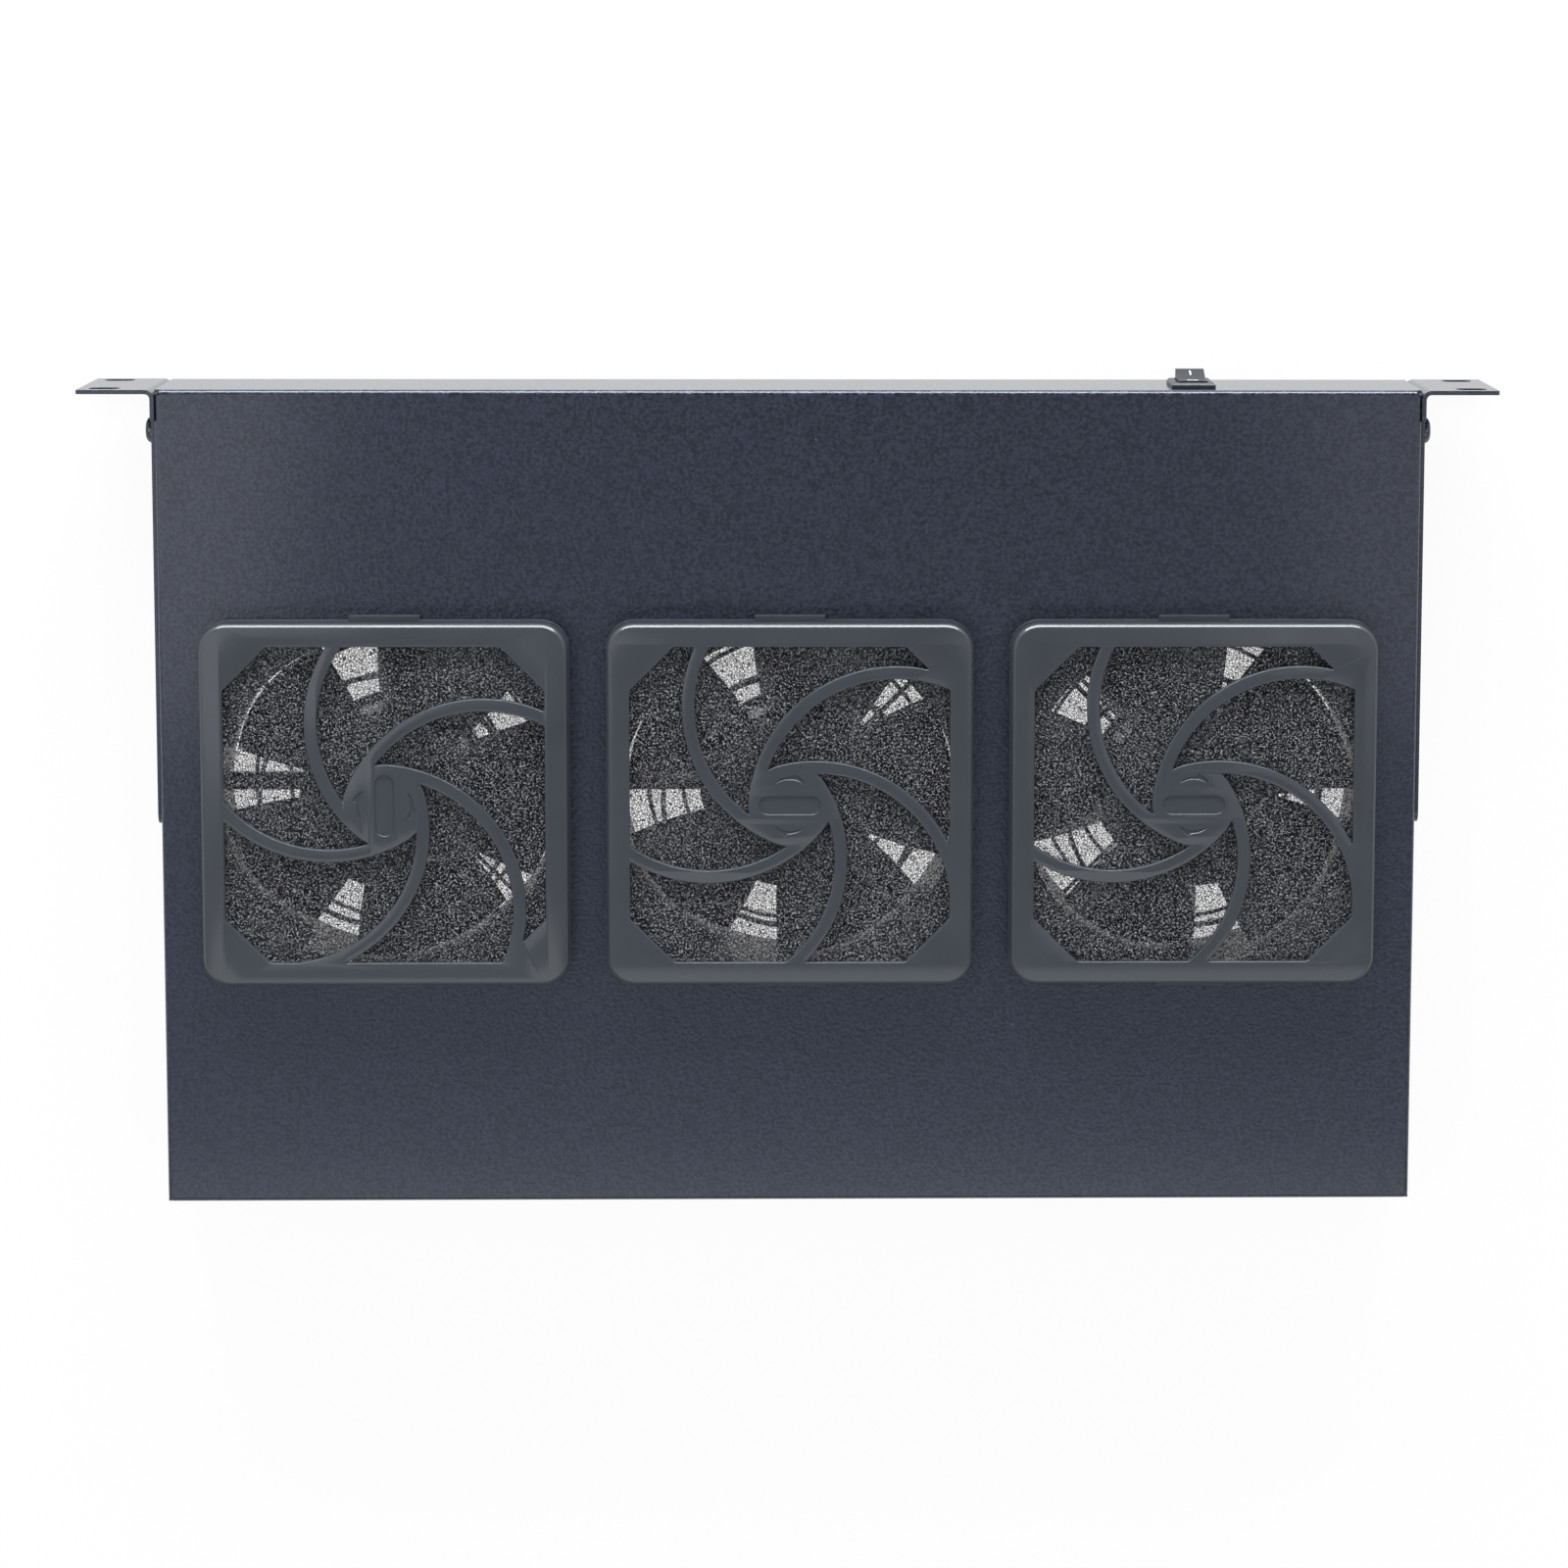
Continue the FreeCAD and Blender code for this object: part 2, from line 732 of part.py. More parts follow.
def filter_base():
    """Moulded holder: square floor with a rim, clip slots, finger tabs and a ring grille."""
    height = base_floor + base_rim
    base = rounded_plate(base_size, base_size, base_corner, 0, height)
    inner = base_size - 2 * base_rim_width
    inner_corner = base_corner - base_rim_width
    base = base.cut(rounded_plate(inner, inner, inner_corner, base_floor, height))
    base = base.cut(cylinder(fan_bore / 2, height))
    tab = box(
        -base_tab_width / 2,
        base_tab_width / 2,
        -base_size / 2 - base_tab_reach,
        -base_size / 2 + base_rim_width,
        0,
        height,
    )
    base = base.multiFuse([tab, turned(tab, 180)])
    seat = clip_seat()
    slot = box(
        -clip_width / 2 - clip_clearance,
        clip_width / 2 + clip_clearance,
        seat - clip_thickness - clip_clearance,
        seat + clip_clearance,
        0,
        base_floor,
    )
    holes = [
        cylinder(fan_screw / 2 + screw_clearance, base_floor, Vec(x, y, 0))
        for x, y in corners(fan_hole_pitch)
    ]
    base = base.cut(holes + around(slot, 4))
    grille_height = base_floor - grille_lift
    pitch = fan_bore / 2 / (grille_ring_count + 1)
    half = grille_ring_width / 2
    radii = [pitch * (k + 1) for k in range(grille_ring_count)]
    rings = [ring(r + half, r - half, grille_lift, grille_height) for r in radii]
    rib = box(
        pitch,
        fan_bore / 2 + 1,
        -grille_ring_width / 2,
        grille_ring_width / 2,
        grille_lift,
        base_floor,
    )
    return base.multiFuse(rings + around(rib, grille_rib_count, 45)).removeSplitter()


def filter_foam():
    level = base_floor + foam_gap
    height = cover_height - cover_plate - foam_gap - level
    return chamfered_square(foam_size, cover_chamfer, level, height)


def spiral_arm():
    """One arm of the cover: an arc that leaves the hub tangentially."""
    level = cover_height - cover_plate
    offset = arm_radius + arm_width / 2 - cover_hub_radius
    outer = arm_radius + arm_width / 2
    inner = arm_radius - arm_width / 2
    sector = cylinder_sector(outer, cover_plate, level).cut(
        cylinder_sector(inner, cover_plate, level)
    )
    arm = turned(sector, 180 - arm_sweep)
    return turned(moved(arm, offset, 0, 0), arm_start_angle)


def cylinder_sector(radius, height, level):
    return Part.makeCylinder(radius, height, Vec(0, 0, level), UP, arm_sweep)


def filter_cover():
    """Clip-on cover: bevelled frame, spiral arms from a hub with a grip recess, clip tongues."""
    skirt_start = base_floor + base_rim + cover_seat_gap
    skirt = cover_height - skirt_start
    cover = rounded_plate(cover_size, cover_size, cover_corner, skirt_start, skirt)
    upper = [e for e in cover.Edges if abs(e.BoundBox.ZMin - cover_height) < 0.01]
    cover = cover.makeChamfer(cover_bevel, upper)
    inner = cover_size - 2 * cover_wall
    pocket_height = cover_height - cover_plate - skirt_start
    inner_corner = cover_corner - cover_wall
    cover = cover.cut(rounded_plate(inner, inner, inner_corner, skirt_start, pocket_height))
    level = cover_height - cover_plate
    cover = cover.cut(chamfered_square(cover_window, cover_chamfer, level, cover_plate))
    hub = cylinder(cover_hub_radius, cover_plate, Vec(0, 0, level))
    field = rounded_plate(inner, inner, inner_corner, level, cover_plate)
    arms = [arm.common(field) for arm in around(spiral_arm(), arm_count)]
    clip = box(
        -clip_width / 2,
        clip_width / 2,
        clip_seat() - clip_thickness,
        clip_seat(),
        clip_clearance,
        level,
    )
    cover = cover.multiFuse([hub] + arms + around(clip, 4))
    grip = rounded_plate(grip_length, grip_width, grip_width / 2 - 0.01, level, cover_plate)
    grip = moved(grip, 0, 0, cover_plate - grip_depth)
    return cover.cut(grip).removeSplitter()


def switch_frame(shape):
    """Place a switch piece: local X across, local Y up the panel, local Z out of the panel."""
    placed = turned(shape, 90, Vec(1, 0, 0))
    return moved(placed, switch_x, 0, switch_z)


def switch_housing():
    """Push-in housing: bevelled bezel on a hollow body with two pivot holes."""
    bezel = box(
        -bezel_width / 2,
        bezel_width / 2,
        -bezel_height / 2,
        bezel_height / 2,
        0,
        bezel_proud,
    )
    front = [e for e in bezel.Edges if e.BoundBox.ZMin > bezel_proud - 0.01]
    bezel = bezel.makeChamfer(bezel_bevel, front)
    body_w = switch_hole_width / 2
    body_h = switch_hole_height / 2
    body = box(-body_w, body_w, -body_h, body_h, -switch_body_depth, 0)
    pocket_w = rocker_width / 2 + rocker_gap
    pocket_h = rocker_height / 2 + rocker_gap + rocker_shoulder
    pocket_depth = rocker_pivot_depth + rocker_depth + 2 * rocker_gap
    pocket = box(-pocket_w, pocket_w, -pocket_h, pocket_h, -pocket_depth, bezel_proud)
    pin_span = rocker_width + 2 * rocker_pin_reach + 2 * rocker_gap
    pin_hole = cylinder(
        rocker_pin / 2 + running_gap,
        pin_span,
        Vec(-pin_span / 2, 0, -rocker_pivot_depth),
        Vec(1, 0, 0),
    )
    return switch_frame(bezel.fuse(body).cut([pocket, pin_hole]).removeSplitter())


def switch_rocker():
    """Rocker with two flats meeting in a shallow valley, resting with its upper end pressed in."""
    reach = rocker_height / 2
    slope = math.tan(math.radians(rocker_tilt))
    valley = bezel_proud + rocker_crown / 4
    end = Vec(0, reach, valley + reach * slope)
    pivot = Vec(0, 0, -rocker_pivot_depth)
    radius = math.hypot(reach, end.z + rocker_pivot_depth)
    keel = Vec(0, rocker_keel_width / 2, pivot.z - rocker_depth + rocker_pin_reach)
    half = [Vec(0, 0, valley), end, Vec(0, reach, pivot.z), keel]
    mirrored = [Vec(0, -p.y, p.z) for p in reversed(half[1:])]
    outline = half + mirrored
    body = prism([p - Vec(rocker_width / 2, 0, 0) for p in outline], Vec(rocker_width, 0, 0))
    span = rocker_width + 2 * rocker_pin_reach
    pin = cylinder(rocker_pin / 2, span, pivot - Vec(span / 2, 0, 0), Vec(1, 0, 0))
    trim = cylinder(radius, rocker_width, pivot - Vec(rocker_width / 2, 0, 0), Vec(1, 0, 0))
    body = body.common(trim).fuse(pin).removeSplitter()
    return switch_frame(turned(body, -rocker_tilt, Vec(1, 0, 0), pivot))


def inlet_frame(shape):
    """Place an inlet piece: local X across, local Y up, local Z out of the rear wall."""
    placed = turned(shape, 90, Vec(1, 0, 0))
    placed = turned(placed, 180)
    return moved(placed, inlet_x, tray_depth, 0)


def power_inlet():
    """Appliance inlet: flange with two screw holes, body, and a socket with two cut corners."""
    flange = rounded_plate(
        inlet_flange_length,
        inlet_flange_height,
        inlet_flange_corner,
        0,
        inlet_flange_thickness,
    )
    body = box(
        -inlet_body_width / 2,
        inlet_body_width / 2,
        -inlet_body_height / 2,
        inlet_body_height / 2,
        -inlet_body_depth,
        0,
    )
    half_w = inlet_socket_width / 2
    half_h = inlet_socket_height / 2
    cut = inlet_socket_bevel
    outline = [
        (-half_w, -half_h),
        (half_w, -half_h),
        (half_w, half_h - cut),
        (half_w - cut, half_h),
        (-half_w + cut, half_h),
        (-half_w, half_h - cut),
    ]
    floor = inlet_flange_thickness - inlet_socket_depth
    socket = prism([Vec(x, y, floor) for x, y in outline], Vec(0, 0, inlet_socket_depth))
    holes = [
        cylinder(
            inlet_screw / 2 + screw_clearance,
            inlet_flange_thickness,
            Vec(side * inlet_screw_pitch / 2, 0, 0),
        )
        for side in SIDES.values()
    ]
    slots = [pin_shape(x, y, press_gap) for x, y in inlet_pin_points()]
    return inlet_frame(flange.fuse(body).cut([socket] + holes + slots).removeSplitter())


def inlet_pin_points():
    side = inlet_pin_pitch / 2
    return [(-side, -inlet_pin_drop), (side, -inlet_pin_drop), (0.0, inlet_earth_rise)]


def pin_shape(x, y, clearance=0.0):
    floor = inlet_flange_thickness - inlet_socket_depth
    half_t = inlet_pin_thickness / 2 + clearance
    half_h = inlet_pin_height / 2 + clearance
    tail = -inlet_body_depth - inlet_tail_reach
    return box(x - half_t, x + half_t, y - half_h, y + half_h, tail, floor + inlet_pin_reach)


def inlet_pins():
    return inlet_frame(group([pin_shape(x, y) for x, y in inlet_pin_points()]))


def inlet_screws():
    length = inlet_flange_thickness + sheet + inlet_nut_height + screw_tip
    screw = pan_screw(inlet_screw, inlet_screw_head, inlet_screw_head_height, length)
    level = inlet_flange_thickness
    half = inlet_screw_pitch / 2
    return inlet_frame(group([moved(screw, s * half, 0, level) for s in SIDES.values()]))


def inlet_nuts():
    nut = hex_nut(inlet_nut_flats, inlet_nut_height, inlet_screw)
    half = inlet_screw_pitch / 2
    return inlet_frame(group([moved(nut, s * half, 0, -sheet) for s in SIDES.values()]))


def way_x(way):
    """Centre of one way of the terminal block, counted from the left."""
    return inlet_x + (way - (block_ways - 1) / 2) * block_length / block_ways


def block_slab(top, height):
    half = block_length / 2
    return box(inlet_x - half, inlet_x + half, block_front, block_rear, top - height, top)


def terminal_pad():
    return block_slab(plate_under, pad_thickness)


def well(way, radius, top, height):
    return cylinder(radius, height, Vec(way_x(way), block_centre, top - height))


def terminal_block():
    """Moulded block stuck under the plate, with a screw well for each way."""
    depth = block_height / 2
    wells = [well(k, block_well, block_top - depth, depth) for k in range(block_ways)]
    return block_slab(block_top, block_height).cut(wells)


def terminal_screws():
    radius = block_well - press_gap
    return group([well(k, radius, block_middle, block_height / 4) for k in range(block_ways)])


def inlet_boot():
    """Insulating boot over the tails of the inlet pins."""
    half_w = inlet_body_width / 2
    half_h = inlet_body_height / 2
    rear = -inlet_body_depth - inlet_boot_reach
    boot = box(-half_w, half_w, -half_h, half_h, rear, -inlet_body_depth)
    return inlet_frame(boot.cut([pin_shape(x, y, press_gap) for x, y in inlet_pin_points()]))


def switch_tab(side, clearance=0.0):
    """One tab terminal of the switch, in the switch's own frame."""
    half_w = blade_terminal_width / 2 + clearance
    half_t = blade_terminal_thickness / 2 + clearance
    centre = side * switch_terminal_pitch / 2
    low = -switch_body_depth - blade_terminal_reach - clearance
    return box(-half_w, half_w, centre - half_t, centre + half_t, low, -switch_body_depth)


def switch_terminals():
    """Two tab terminals standing out of the back of the switch."""
    return switch_frame(group([switch_tab(side) for side in SIDES.values()]))


def switch_receptacles():
    """Insulated push-on receptacles over the switch's tabs."""
    half_w = receptacle_width / 2
    half_t = receptacle_thickness / 2
    sleeves = []
    for side in SIDES.values():
        centre = side * switch_terminal_pitch / 2
        top = -switch_body_depth - switch_wall
        sleeve = box(-half_w, half_w, centre - half_t, centre + half_t, top - receptacle_reach, top)
        sleeves.append(sleeve.cut(switch_tab(side, press_gap)))
    return switch_frame(group(sleeves))


def lead_saddles():
    """Stick-on saddles under the plate that carry the mains lead and the long fan lead."""
    saddles = []
    half = lead_grip / 2
    spots = [
        (inlet_x, fan_row - fan_size / 4, block_middle, mains_lead, Vec(0, 1, 0)),
        (inlet_x, fan_row + fan_size / 4, block_middle, mains_lead, Vec(0, 1, 0)),
        (inlet_x + fan_pitch / 2, block_centre, fan_lead_level, fan_lead, Vec(1, 0, 0)),
    ]
    for x, y, level, diameter, along in spots:
        low = level - diameter / 2 - grip_wall
        saddle = box(x - half, x + half, y - half, y + half, low, plate_under)
        start = Vec(x, y, level) - along * lead_grip
        saddles.append(saddle.cut(cylinder(diameter / 2 + press_gap, 2 * lead_grip, start, along)))
    return group(saddles)


def earth_stud():
    """Stud welded under the plate."""
    low = plate_under - earth_stud_length
    return cylinder(earth_stud_diameter / 2, earth_stud_length, Vec(earth_x, earth_y, low))


def earth_nut():
    nut = hex_nut(earth_nut_flats, earth_nut_height, earth_stud_diameter)
    return moved(nut, earth_x, earth_y, plate_under - lug_thickness)


def earth_lug():
    """Ring lug flat under the plate with a crimp barrel to the left."""
    low = plate_under - lug_thickness
    plate = cylinder(lug_width / 2, lug_thickness, Vec(earth_x, earth_y, low))
    half = lug_barrel / 2
    neck_start = lug_neck_end - lug_thickness
    neck = box(neck_start, earth_x, earth_y - half, earth_y + half, low, plate_under)
    barrel = cylinder(half, lug_barrel_length, Vec(lug_neck_end, earth_y, lug_level), Vec(-1, 0, 0))
    hole_radius = earth_stud_diameter / 2 + thread_gap
    hole = cylinder(hole_radius, 2 * lug_thickness, Vec(earth_x, earth_y, low))
    return plate.multiFuse([neck, barrel]).cut(hole).removeSplitter()


def lead(points, diameter):
    """Round lead through the points: straight runs joined by tangent arcs."""
    path = [Vec(*p) for p in points]
    edges = []
    start = path[0]
    for k in range(1, len(path) - 1):
        before = path[k] - path[k - 1]
        after = path[k + 1] - path[k]
        turn = before.getAngle(after)
        setback = bend_share * min(before.Length, after.Length)
        radius = setback / math.tan(turn / 2)
        print(f"lead bend radius {radius:.1f}")
        first = path[k] - before.normalize() * setback
        last = path[k] + after.normalize() * setback
        toward = (first + last) * 0.5 - path[k]
        middle = path[k] + toward.normalize() * (math.hypot(radius, setback) - radius)
        edges.append(Part.LineSegment(start, first).toShape())
        edges.append(Part.Arc(first, middle, last).toShape())
        start = last
    edges.append(Part.LineSegment(start, path[-1]).toShape())
    wire = Part.Wire(edges)
    tangent = (path[1] - path[0]).normalize()
    circle = Part.Wire(Part.makeCircle(diameter / 2, path[0], tangent))
    return wire.makePipeShell([circle], True, True)


def mains_lead_run():
    """Sheathed lead from the inlet's boot, between two fans, to the terminal block."""
    route = [
        (inlet_x, inlet_boot_front, 0),
        (inlet_x, inlet_boot_front - inlet_boot_reach, 0),
        (inlet_x, inlet_boot_front - 3 * inlet_boot_reach, block_middle),
        (inlet_x, block_rear, block_middle),
    ]
    return lead(route, mains_lead)


def earth_core():
    """Single core from the side of the boot up to the barrel of the earth lug."""
    start_x = inlet_x + inlet_body_width / 2
    end_x = lug_neck_end - lug_barrel_length
    third = (end_x - start_x) / 3
    route = [
        (start_x, earth_y, inlet_earth_rise),
        (start_x + third, earth_y, inlet_earth_rise),
        (end_x - third, earth_y, lug_level),
        (end_x, earth_y, lug_level),
    ]
    return lead(route, core)


def switch_cores():
    """Two single cores from the switch's receptacles to the left side of the block."""
    cores = []
    start_y = switch_body_depth + switch_wall + receptacle_reach
    for side in SIDES.values():
        level = switch_z + side * switch_terminal_pitch / 2
        end_y = block_centre + side * 2 * core
        route = [
            (switch_x, start_y, level),
            (switch_x, end_y, level),
            ((switch_x + block_left) / 2, end_y, block_middle),
            (block_left, end_y, block_middle),
        ]
        cores.append(lead(route, core))
    return group(cores)


def near_fan_lead(side):
    """Lead from a fan beside the terminal block to the block's rear face."""
    way = (block_ways - 1) / 2 * (1 + side)
    fan_x = fan_places["middle"] if side > 0 else fan_places["left"]
    start_x = fan_x - side * (fan_size / 2 - fan_lead_inset)
    third = (fan_front - block_rear) / 3
    route = [
        (start_x, fan_front, fan_lead_level),
        (start_x, fan_front - third, fan_lead_level),
        (way_x(way), block_rear + third, fan_lead_level),
        (way_x(way), block_rear, fan_lead_level),
    ]
    return lead(route, fan_lead)


def far_fan_lead():
    """Lead from the right fan along the front bay to the right side of the block."""
    start_x = fan_places["right"] - fan_size / 2 + fan_lead_inset
    drop = fan_front - block_centre
    route = [
        (start_x, fan_front, fan_lead_level),
        (start_x, fan_front - drop / 2, fan_lead_level),
        (start_x - drop, block_centre, fan_lead_level),
        (inlet_x + block_length / 2, block_centre, fan_lead_level),
    ]
    return lead(route, fan_lead)


NODES = {
    "tray_pan": tray_pan,
    "ear_screws": ear_screws,
    "ear_nuts": ear_nuts,
    "fan_screws": fan_screws,
    "fan_nuts": fan_nuts,
    "switch_housing": switch_housing,
    "switch_rocker": switch_rocker,
    "switch_terminals": switch_terminals,
    "power_inlet": power_inlet,
    "inlet_pins": inlet_pins,
    "inlet_screws": inlet_screws,
    "inlet_nuts": inlet_nuts,
    "terminal_pad": terminal_pad,
    "terminal_block": terminal_block,
    "terminal_screws": terminal_screws,
    "inlet_boot": inlet_boot,
    "switch_receptacles": switch_receptacles,
    "lead_saddles": lead_saddles,
    "earth_stud": earth_stud,
    "earth_lug": earth_lug,
    "earth_nut": earth_nut,
    "mains_lead": mains_lead_run,
    "earth_core": earth_core,
    "switch_cores": switch_cores,
    "left_fan_lead": lambda: near_fan_lead(-1),
    "middle_fan_lead": lambda: near_fan_lead(1),
    "right_fan_lead": far_fan_lead,
}

FAN_NODES = {
    "fan_frame": fan_frame,
    "fan_bearings": fan_bearings,
    "fan_shaft": fan_shaft,
    "fan_stator": fan_stator,
    "impeller": impeller,
    "finger_guard": finger_guard,
}

FILTER_NODES = {
    "filter_base": filter_base,
    "filter_foam": filter_foam,
    "filter_cover": filter_cover,
}


def main():
    os.makedirs("parts", exist_ok=True)
    shapes = {name: build() for name, build in NODES.items()}
    for name, side in SIDES.items():
        shapes[f"{name}_rack_ear"] = rack_ear(side)
    for name, build in FAN_NODES.items():
        shape = build()
        for place, x in fan_places.items():
            turn = rotor_rest[place] if name == "impeller" else 0
            shapes[f"{place}_{name}"] = moved(turned(shape, turn), x, fan_row, plate_under)
    for name, build in FILTER_NODES.items():
        shape = build()
        for place, x in fan_places.items():
            turn = -90 if place == "right" and name == "filter_cover" else 0
            shapes[f"{place}_{name}"] = moved(turned(shape, turn), x, fan_row, plate_top)
    for name, shape in shapes.items():
        shape.exportStep(f"parts/{name}.step")


main()
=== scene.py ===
"""Dress a packed one-unit rack fan tray: finishes for every CAD node and finer pieces.

The clip-on filter covers, finger guards, screws, nuts and foam pads are built here from
named sizes. Housings and castings are softened copies of their CAD nodes.
"""

import json
import logging
import math
from collections.abc import Iterable, Sequence
from dataclasses import dataclass
from enum import Enum

import bmesh
import bpy
from mathutils import Matrix, Vector, noise
from mathutils.geometry import tessellate_polygon

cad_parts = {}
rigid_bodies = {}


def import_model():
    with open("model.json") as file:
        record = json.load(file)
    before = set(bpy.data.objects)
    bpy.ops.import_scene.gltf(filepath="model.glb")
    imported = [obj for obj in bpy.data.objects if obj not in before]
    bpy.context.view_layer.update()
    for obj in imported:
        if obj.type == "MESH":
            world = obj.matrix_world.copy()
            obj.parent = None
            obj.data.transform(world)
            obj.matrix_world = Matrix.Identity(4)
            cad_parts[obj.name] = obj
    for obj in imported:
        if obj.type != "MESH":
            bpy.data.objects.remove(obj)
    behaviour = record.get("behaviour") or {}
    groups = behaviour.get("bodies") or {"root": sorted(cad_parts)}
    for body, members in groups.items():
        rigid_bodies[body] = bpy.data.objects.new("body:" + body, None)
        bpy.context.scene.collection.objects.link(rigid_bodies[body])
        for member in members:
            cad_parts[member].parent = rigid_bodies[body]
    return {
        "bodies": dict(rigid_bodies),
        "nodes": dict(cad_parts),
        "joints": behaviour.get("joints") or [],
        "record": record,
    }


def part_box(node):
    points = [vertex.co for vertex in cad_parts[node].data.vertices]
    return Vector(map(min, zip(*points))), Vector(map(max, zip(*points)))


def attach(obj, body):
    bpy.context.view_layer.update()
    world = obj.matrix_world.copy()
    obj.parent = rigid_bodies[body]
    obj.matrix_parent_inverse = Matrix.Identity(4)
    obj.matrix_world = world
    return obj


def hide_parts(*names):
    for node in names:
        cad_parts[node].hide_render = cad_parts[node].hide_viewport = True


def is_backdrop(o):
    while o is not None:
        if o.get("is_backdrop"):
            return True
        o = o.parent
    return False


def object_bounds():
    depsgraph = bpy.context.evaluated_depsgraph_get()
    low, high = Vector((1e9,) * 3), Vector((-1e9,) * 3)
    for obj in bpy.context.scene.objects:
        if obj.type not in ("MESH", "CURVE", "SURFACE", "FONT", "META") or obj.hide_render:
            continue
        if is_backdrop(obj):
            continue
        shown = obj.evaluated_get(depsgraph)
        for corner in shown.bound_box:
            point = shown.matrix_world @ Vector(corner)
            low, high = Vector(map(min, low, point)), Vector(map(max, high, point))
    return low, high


MM = 0.001
TURN = 2 * math.pi
SHARP = math.radians(32)
AXIS = "axis"
TO_METRES = Matrix.Scale(MM, 4)
SAME_POINT = 0.002 * MM
TINY = 1e-6
EASED_SHARE = 0.45
HEXAGON = 6
LOG = logging.getLogger("rack_fan_tray")

Colour = tuple[float, float, float]
Point = tuple[float, float]
Stops = tuple[tuple[float, float], ...]
Vert = bmesh.types.BMVert


# --- Shader graphs


class Sock:
    """A shader value whose arithmetic operators add Math nodes."""

    def __init__(self, graph: "Graph", socket: bpy.types.NodeSocket) -> None:
        """Wrap an output socket of a graph's node."""
        self.graph = graph
        self.socket = socket

    def math(self, operation: str, *others: "Sock | float") -> "Sock":
        """Add one Math node with this value first."""
        values = dict(enumerate((self, *others)))
        return self.graph.node("ShaderNodeMath", {"operation": operation}, values)

    def __add__(self, other: "Sock | float") -> "Sock":
        """Sum."""
        return self.math("ADD", other)

    __radd__ = __add__

    def __mul__(self, other: "Sock | float") -> "Sock":
        """Product."""
        return self.math("MULTIPLY", other)

    __rmul__ = __mul__

    def __sub__(self, other: "Sock | float") -> "Sock":
        """Difference."""
        return self.math("SUBTRACT", other)

    def __rsub__(self, other: float) -> "Sock":
        """Difference from a number."""
        return (self * -1.0) + other

    def __gt__(self, other: "Sock | float") -> "Sock":
        """One where this value is greater, otherwise nought."""
        return self.math("GREATER_THAN", other)

    def __lt__(self, other: "Sock | float") -> "Sock":
        """One where this value is less, otherwise nought."""
        return self.math("LESS_THAN", other)


Value = Sock | float | Sequence[float]


class Graph:
    """The node tree of a material or a world, built from calls."""

    def __init__(self, owner: bpy.types.Material | bpy.types.World) -> None:
        """Empty the owner's tree.

        Args:
            owner: The material or world whose tree is built.
        """
        self.owner = owner
        owner.use_nodes = True
        self.tree = owner.node_tree
        self.tree.nodes.clear()

    def node(
        self,
        kind: str,
        settings: dict[str, object] | None = None,
        inputs: dict[str | int, Value] | None = None,
        output: int | str = 0,
    ) -> Sock:
        """Add a node.

        Args:
            kind: The node's type.
            settings: Properties that are set first; "stops" fills a ramp.
            inputs: Values or links by socket name or index.
            output: The output socket that is wanted.

        Returns:
            The chosen output.
        """
        node = self.tree.nodes.new(kind)
        for key, value in (settings or {}).items():
            if key == "stops":
                self._fill_ramp(node.color_ramp, value)
            else:
                setattr(node, key, value)
        for key, value in (inputs or {}).items():
            if isinstance(value, Sock):
                self.tree.links.new(value.socket, node.inputs[key])
            else:
                node.inputs[key].default_value = value
        return Sock(self, node.outputs[output])

    @staticmethod
    def _fill_ramp(ramp: bpy.types.ColorRamp, stops: Stops) -> None:
        """Set a ramp's grey stops, each a position and a level.

        Args:
            ramp: The ramp of a node.
            stops: Position and level of each stop.
        """
        while len(ramp.elements) < len(stops):
            ramp.elements.new(1.0)
        for element, (position, level) in zip(ramp.elements, stops):
            element.position = position
            element.color = (level, level, level, 1.0)

    def place(self) -> Sock:
        """Object coordinates in metres."""
        return self.node("ShaderNodeTexCoord", output="Object")

    def noise(self, size: float, detail: float = 2.0, rough: float = 0.5) -> Sock:
        """Soft noise with features of a given size in metres."""
        inputs = {"Vector": self.place(), "Scale": 1 / size, "Detail": detail, "Roughness": rough}
        return self.node("ShaderNodeTexNoise", inputs=inputs)

    def cells(self, size: float, feature: str = "F1", output: str = "Distance") -> Sock:
        """Voronoi cells of a given size in metres."""
        inputs = {"Vector": self.place(), "Scale": 1 / size}
        return self.node("ShaderNodeTexVoronoi", {"feature": feature}, inputs, output)

    def ramp(self, value: Sock, stops: Stops) -> Sock:
        """Map a value through grey stops."""
        return self.node("ShaderNodeValToRGB", {"stops": stops}, {0: value})

    def mix(self, factor: Sock | float, first: Value, second: Value) -> Sock:
        """Blend two colours."""
        inputs = {0: factor, 6: first, 7: second}
        return self.node("ShaderNodeMix", {"data_type": "RGBA"}, inputs, output=2)

    def bump(self, height: Sock, depth: float) -> Sock:
        """Relief of a given depth in metres."""
        return self.node("ShaderNodeBump", inputs={"Height": height, "Distance": depth})

    def surface(self, varied: dict[str, Value], fixed: dict[str, float]) -> bpy.types.Material:
        """End the tree in a Principled surface.

        Args:
            varied: Sockets that may change over the surface.
            fixed: Sockets with one value everywhere.

        Returns:
            The finished material.
        """
        shader = self.node("ShaderNodeBsdfPrincipled", inputs={**fixed, **varied})
        self.output(shader, "ShaderNodeOutputMaterial")
        return self.owner

    def output(self, shader: Sock, kind: str) -> None:
        """Link a shader to an output node of the given type."""
        output = self.tree.nodes.new(kind)
        self.tree.links.new(shader.socket, output.inputs["Surface"])


def rgba(colour: Colour, strength: float = 1.0) -> tuple[float, float, float, float]:
    """An opaque colour, made lighter or darker by a factor."""
    return (*(strength * part for part in colour), 1.0)


# --- Finishes


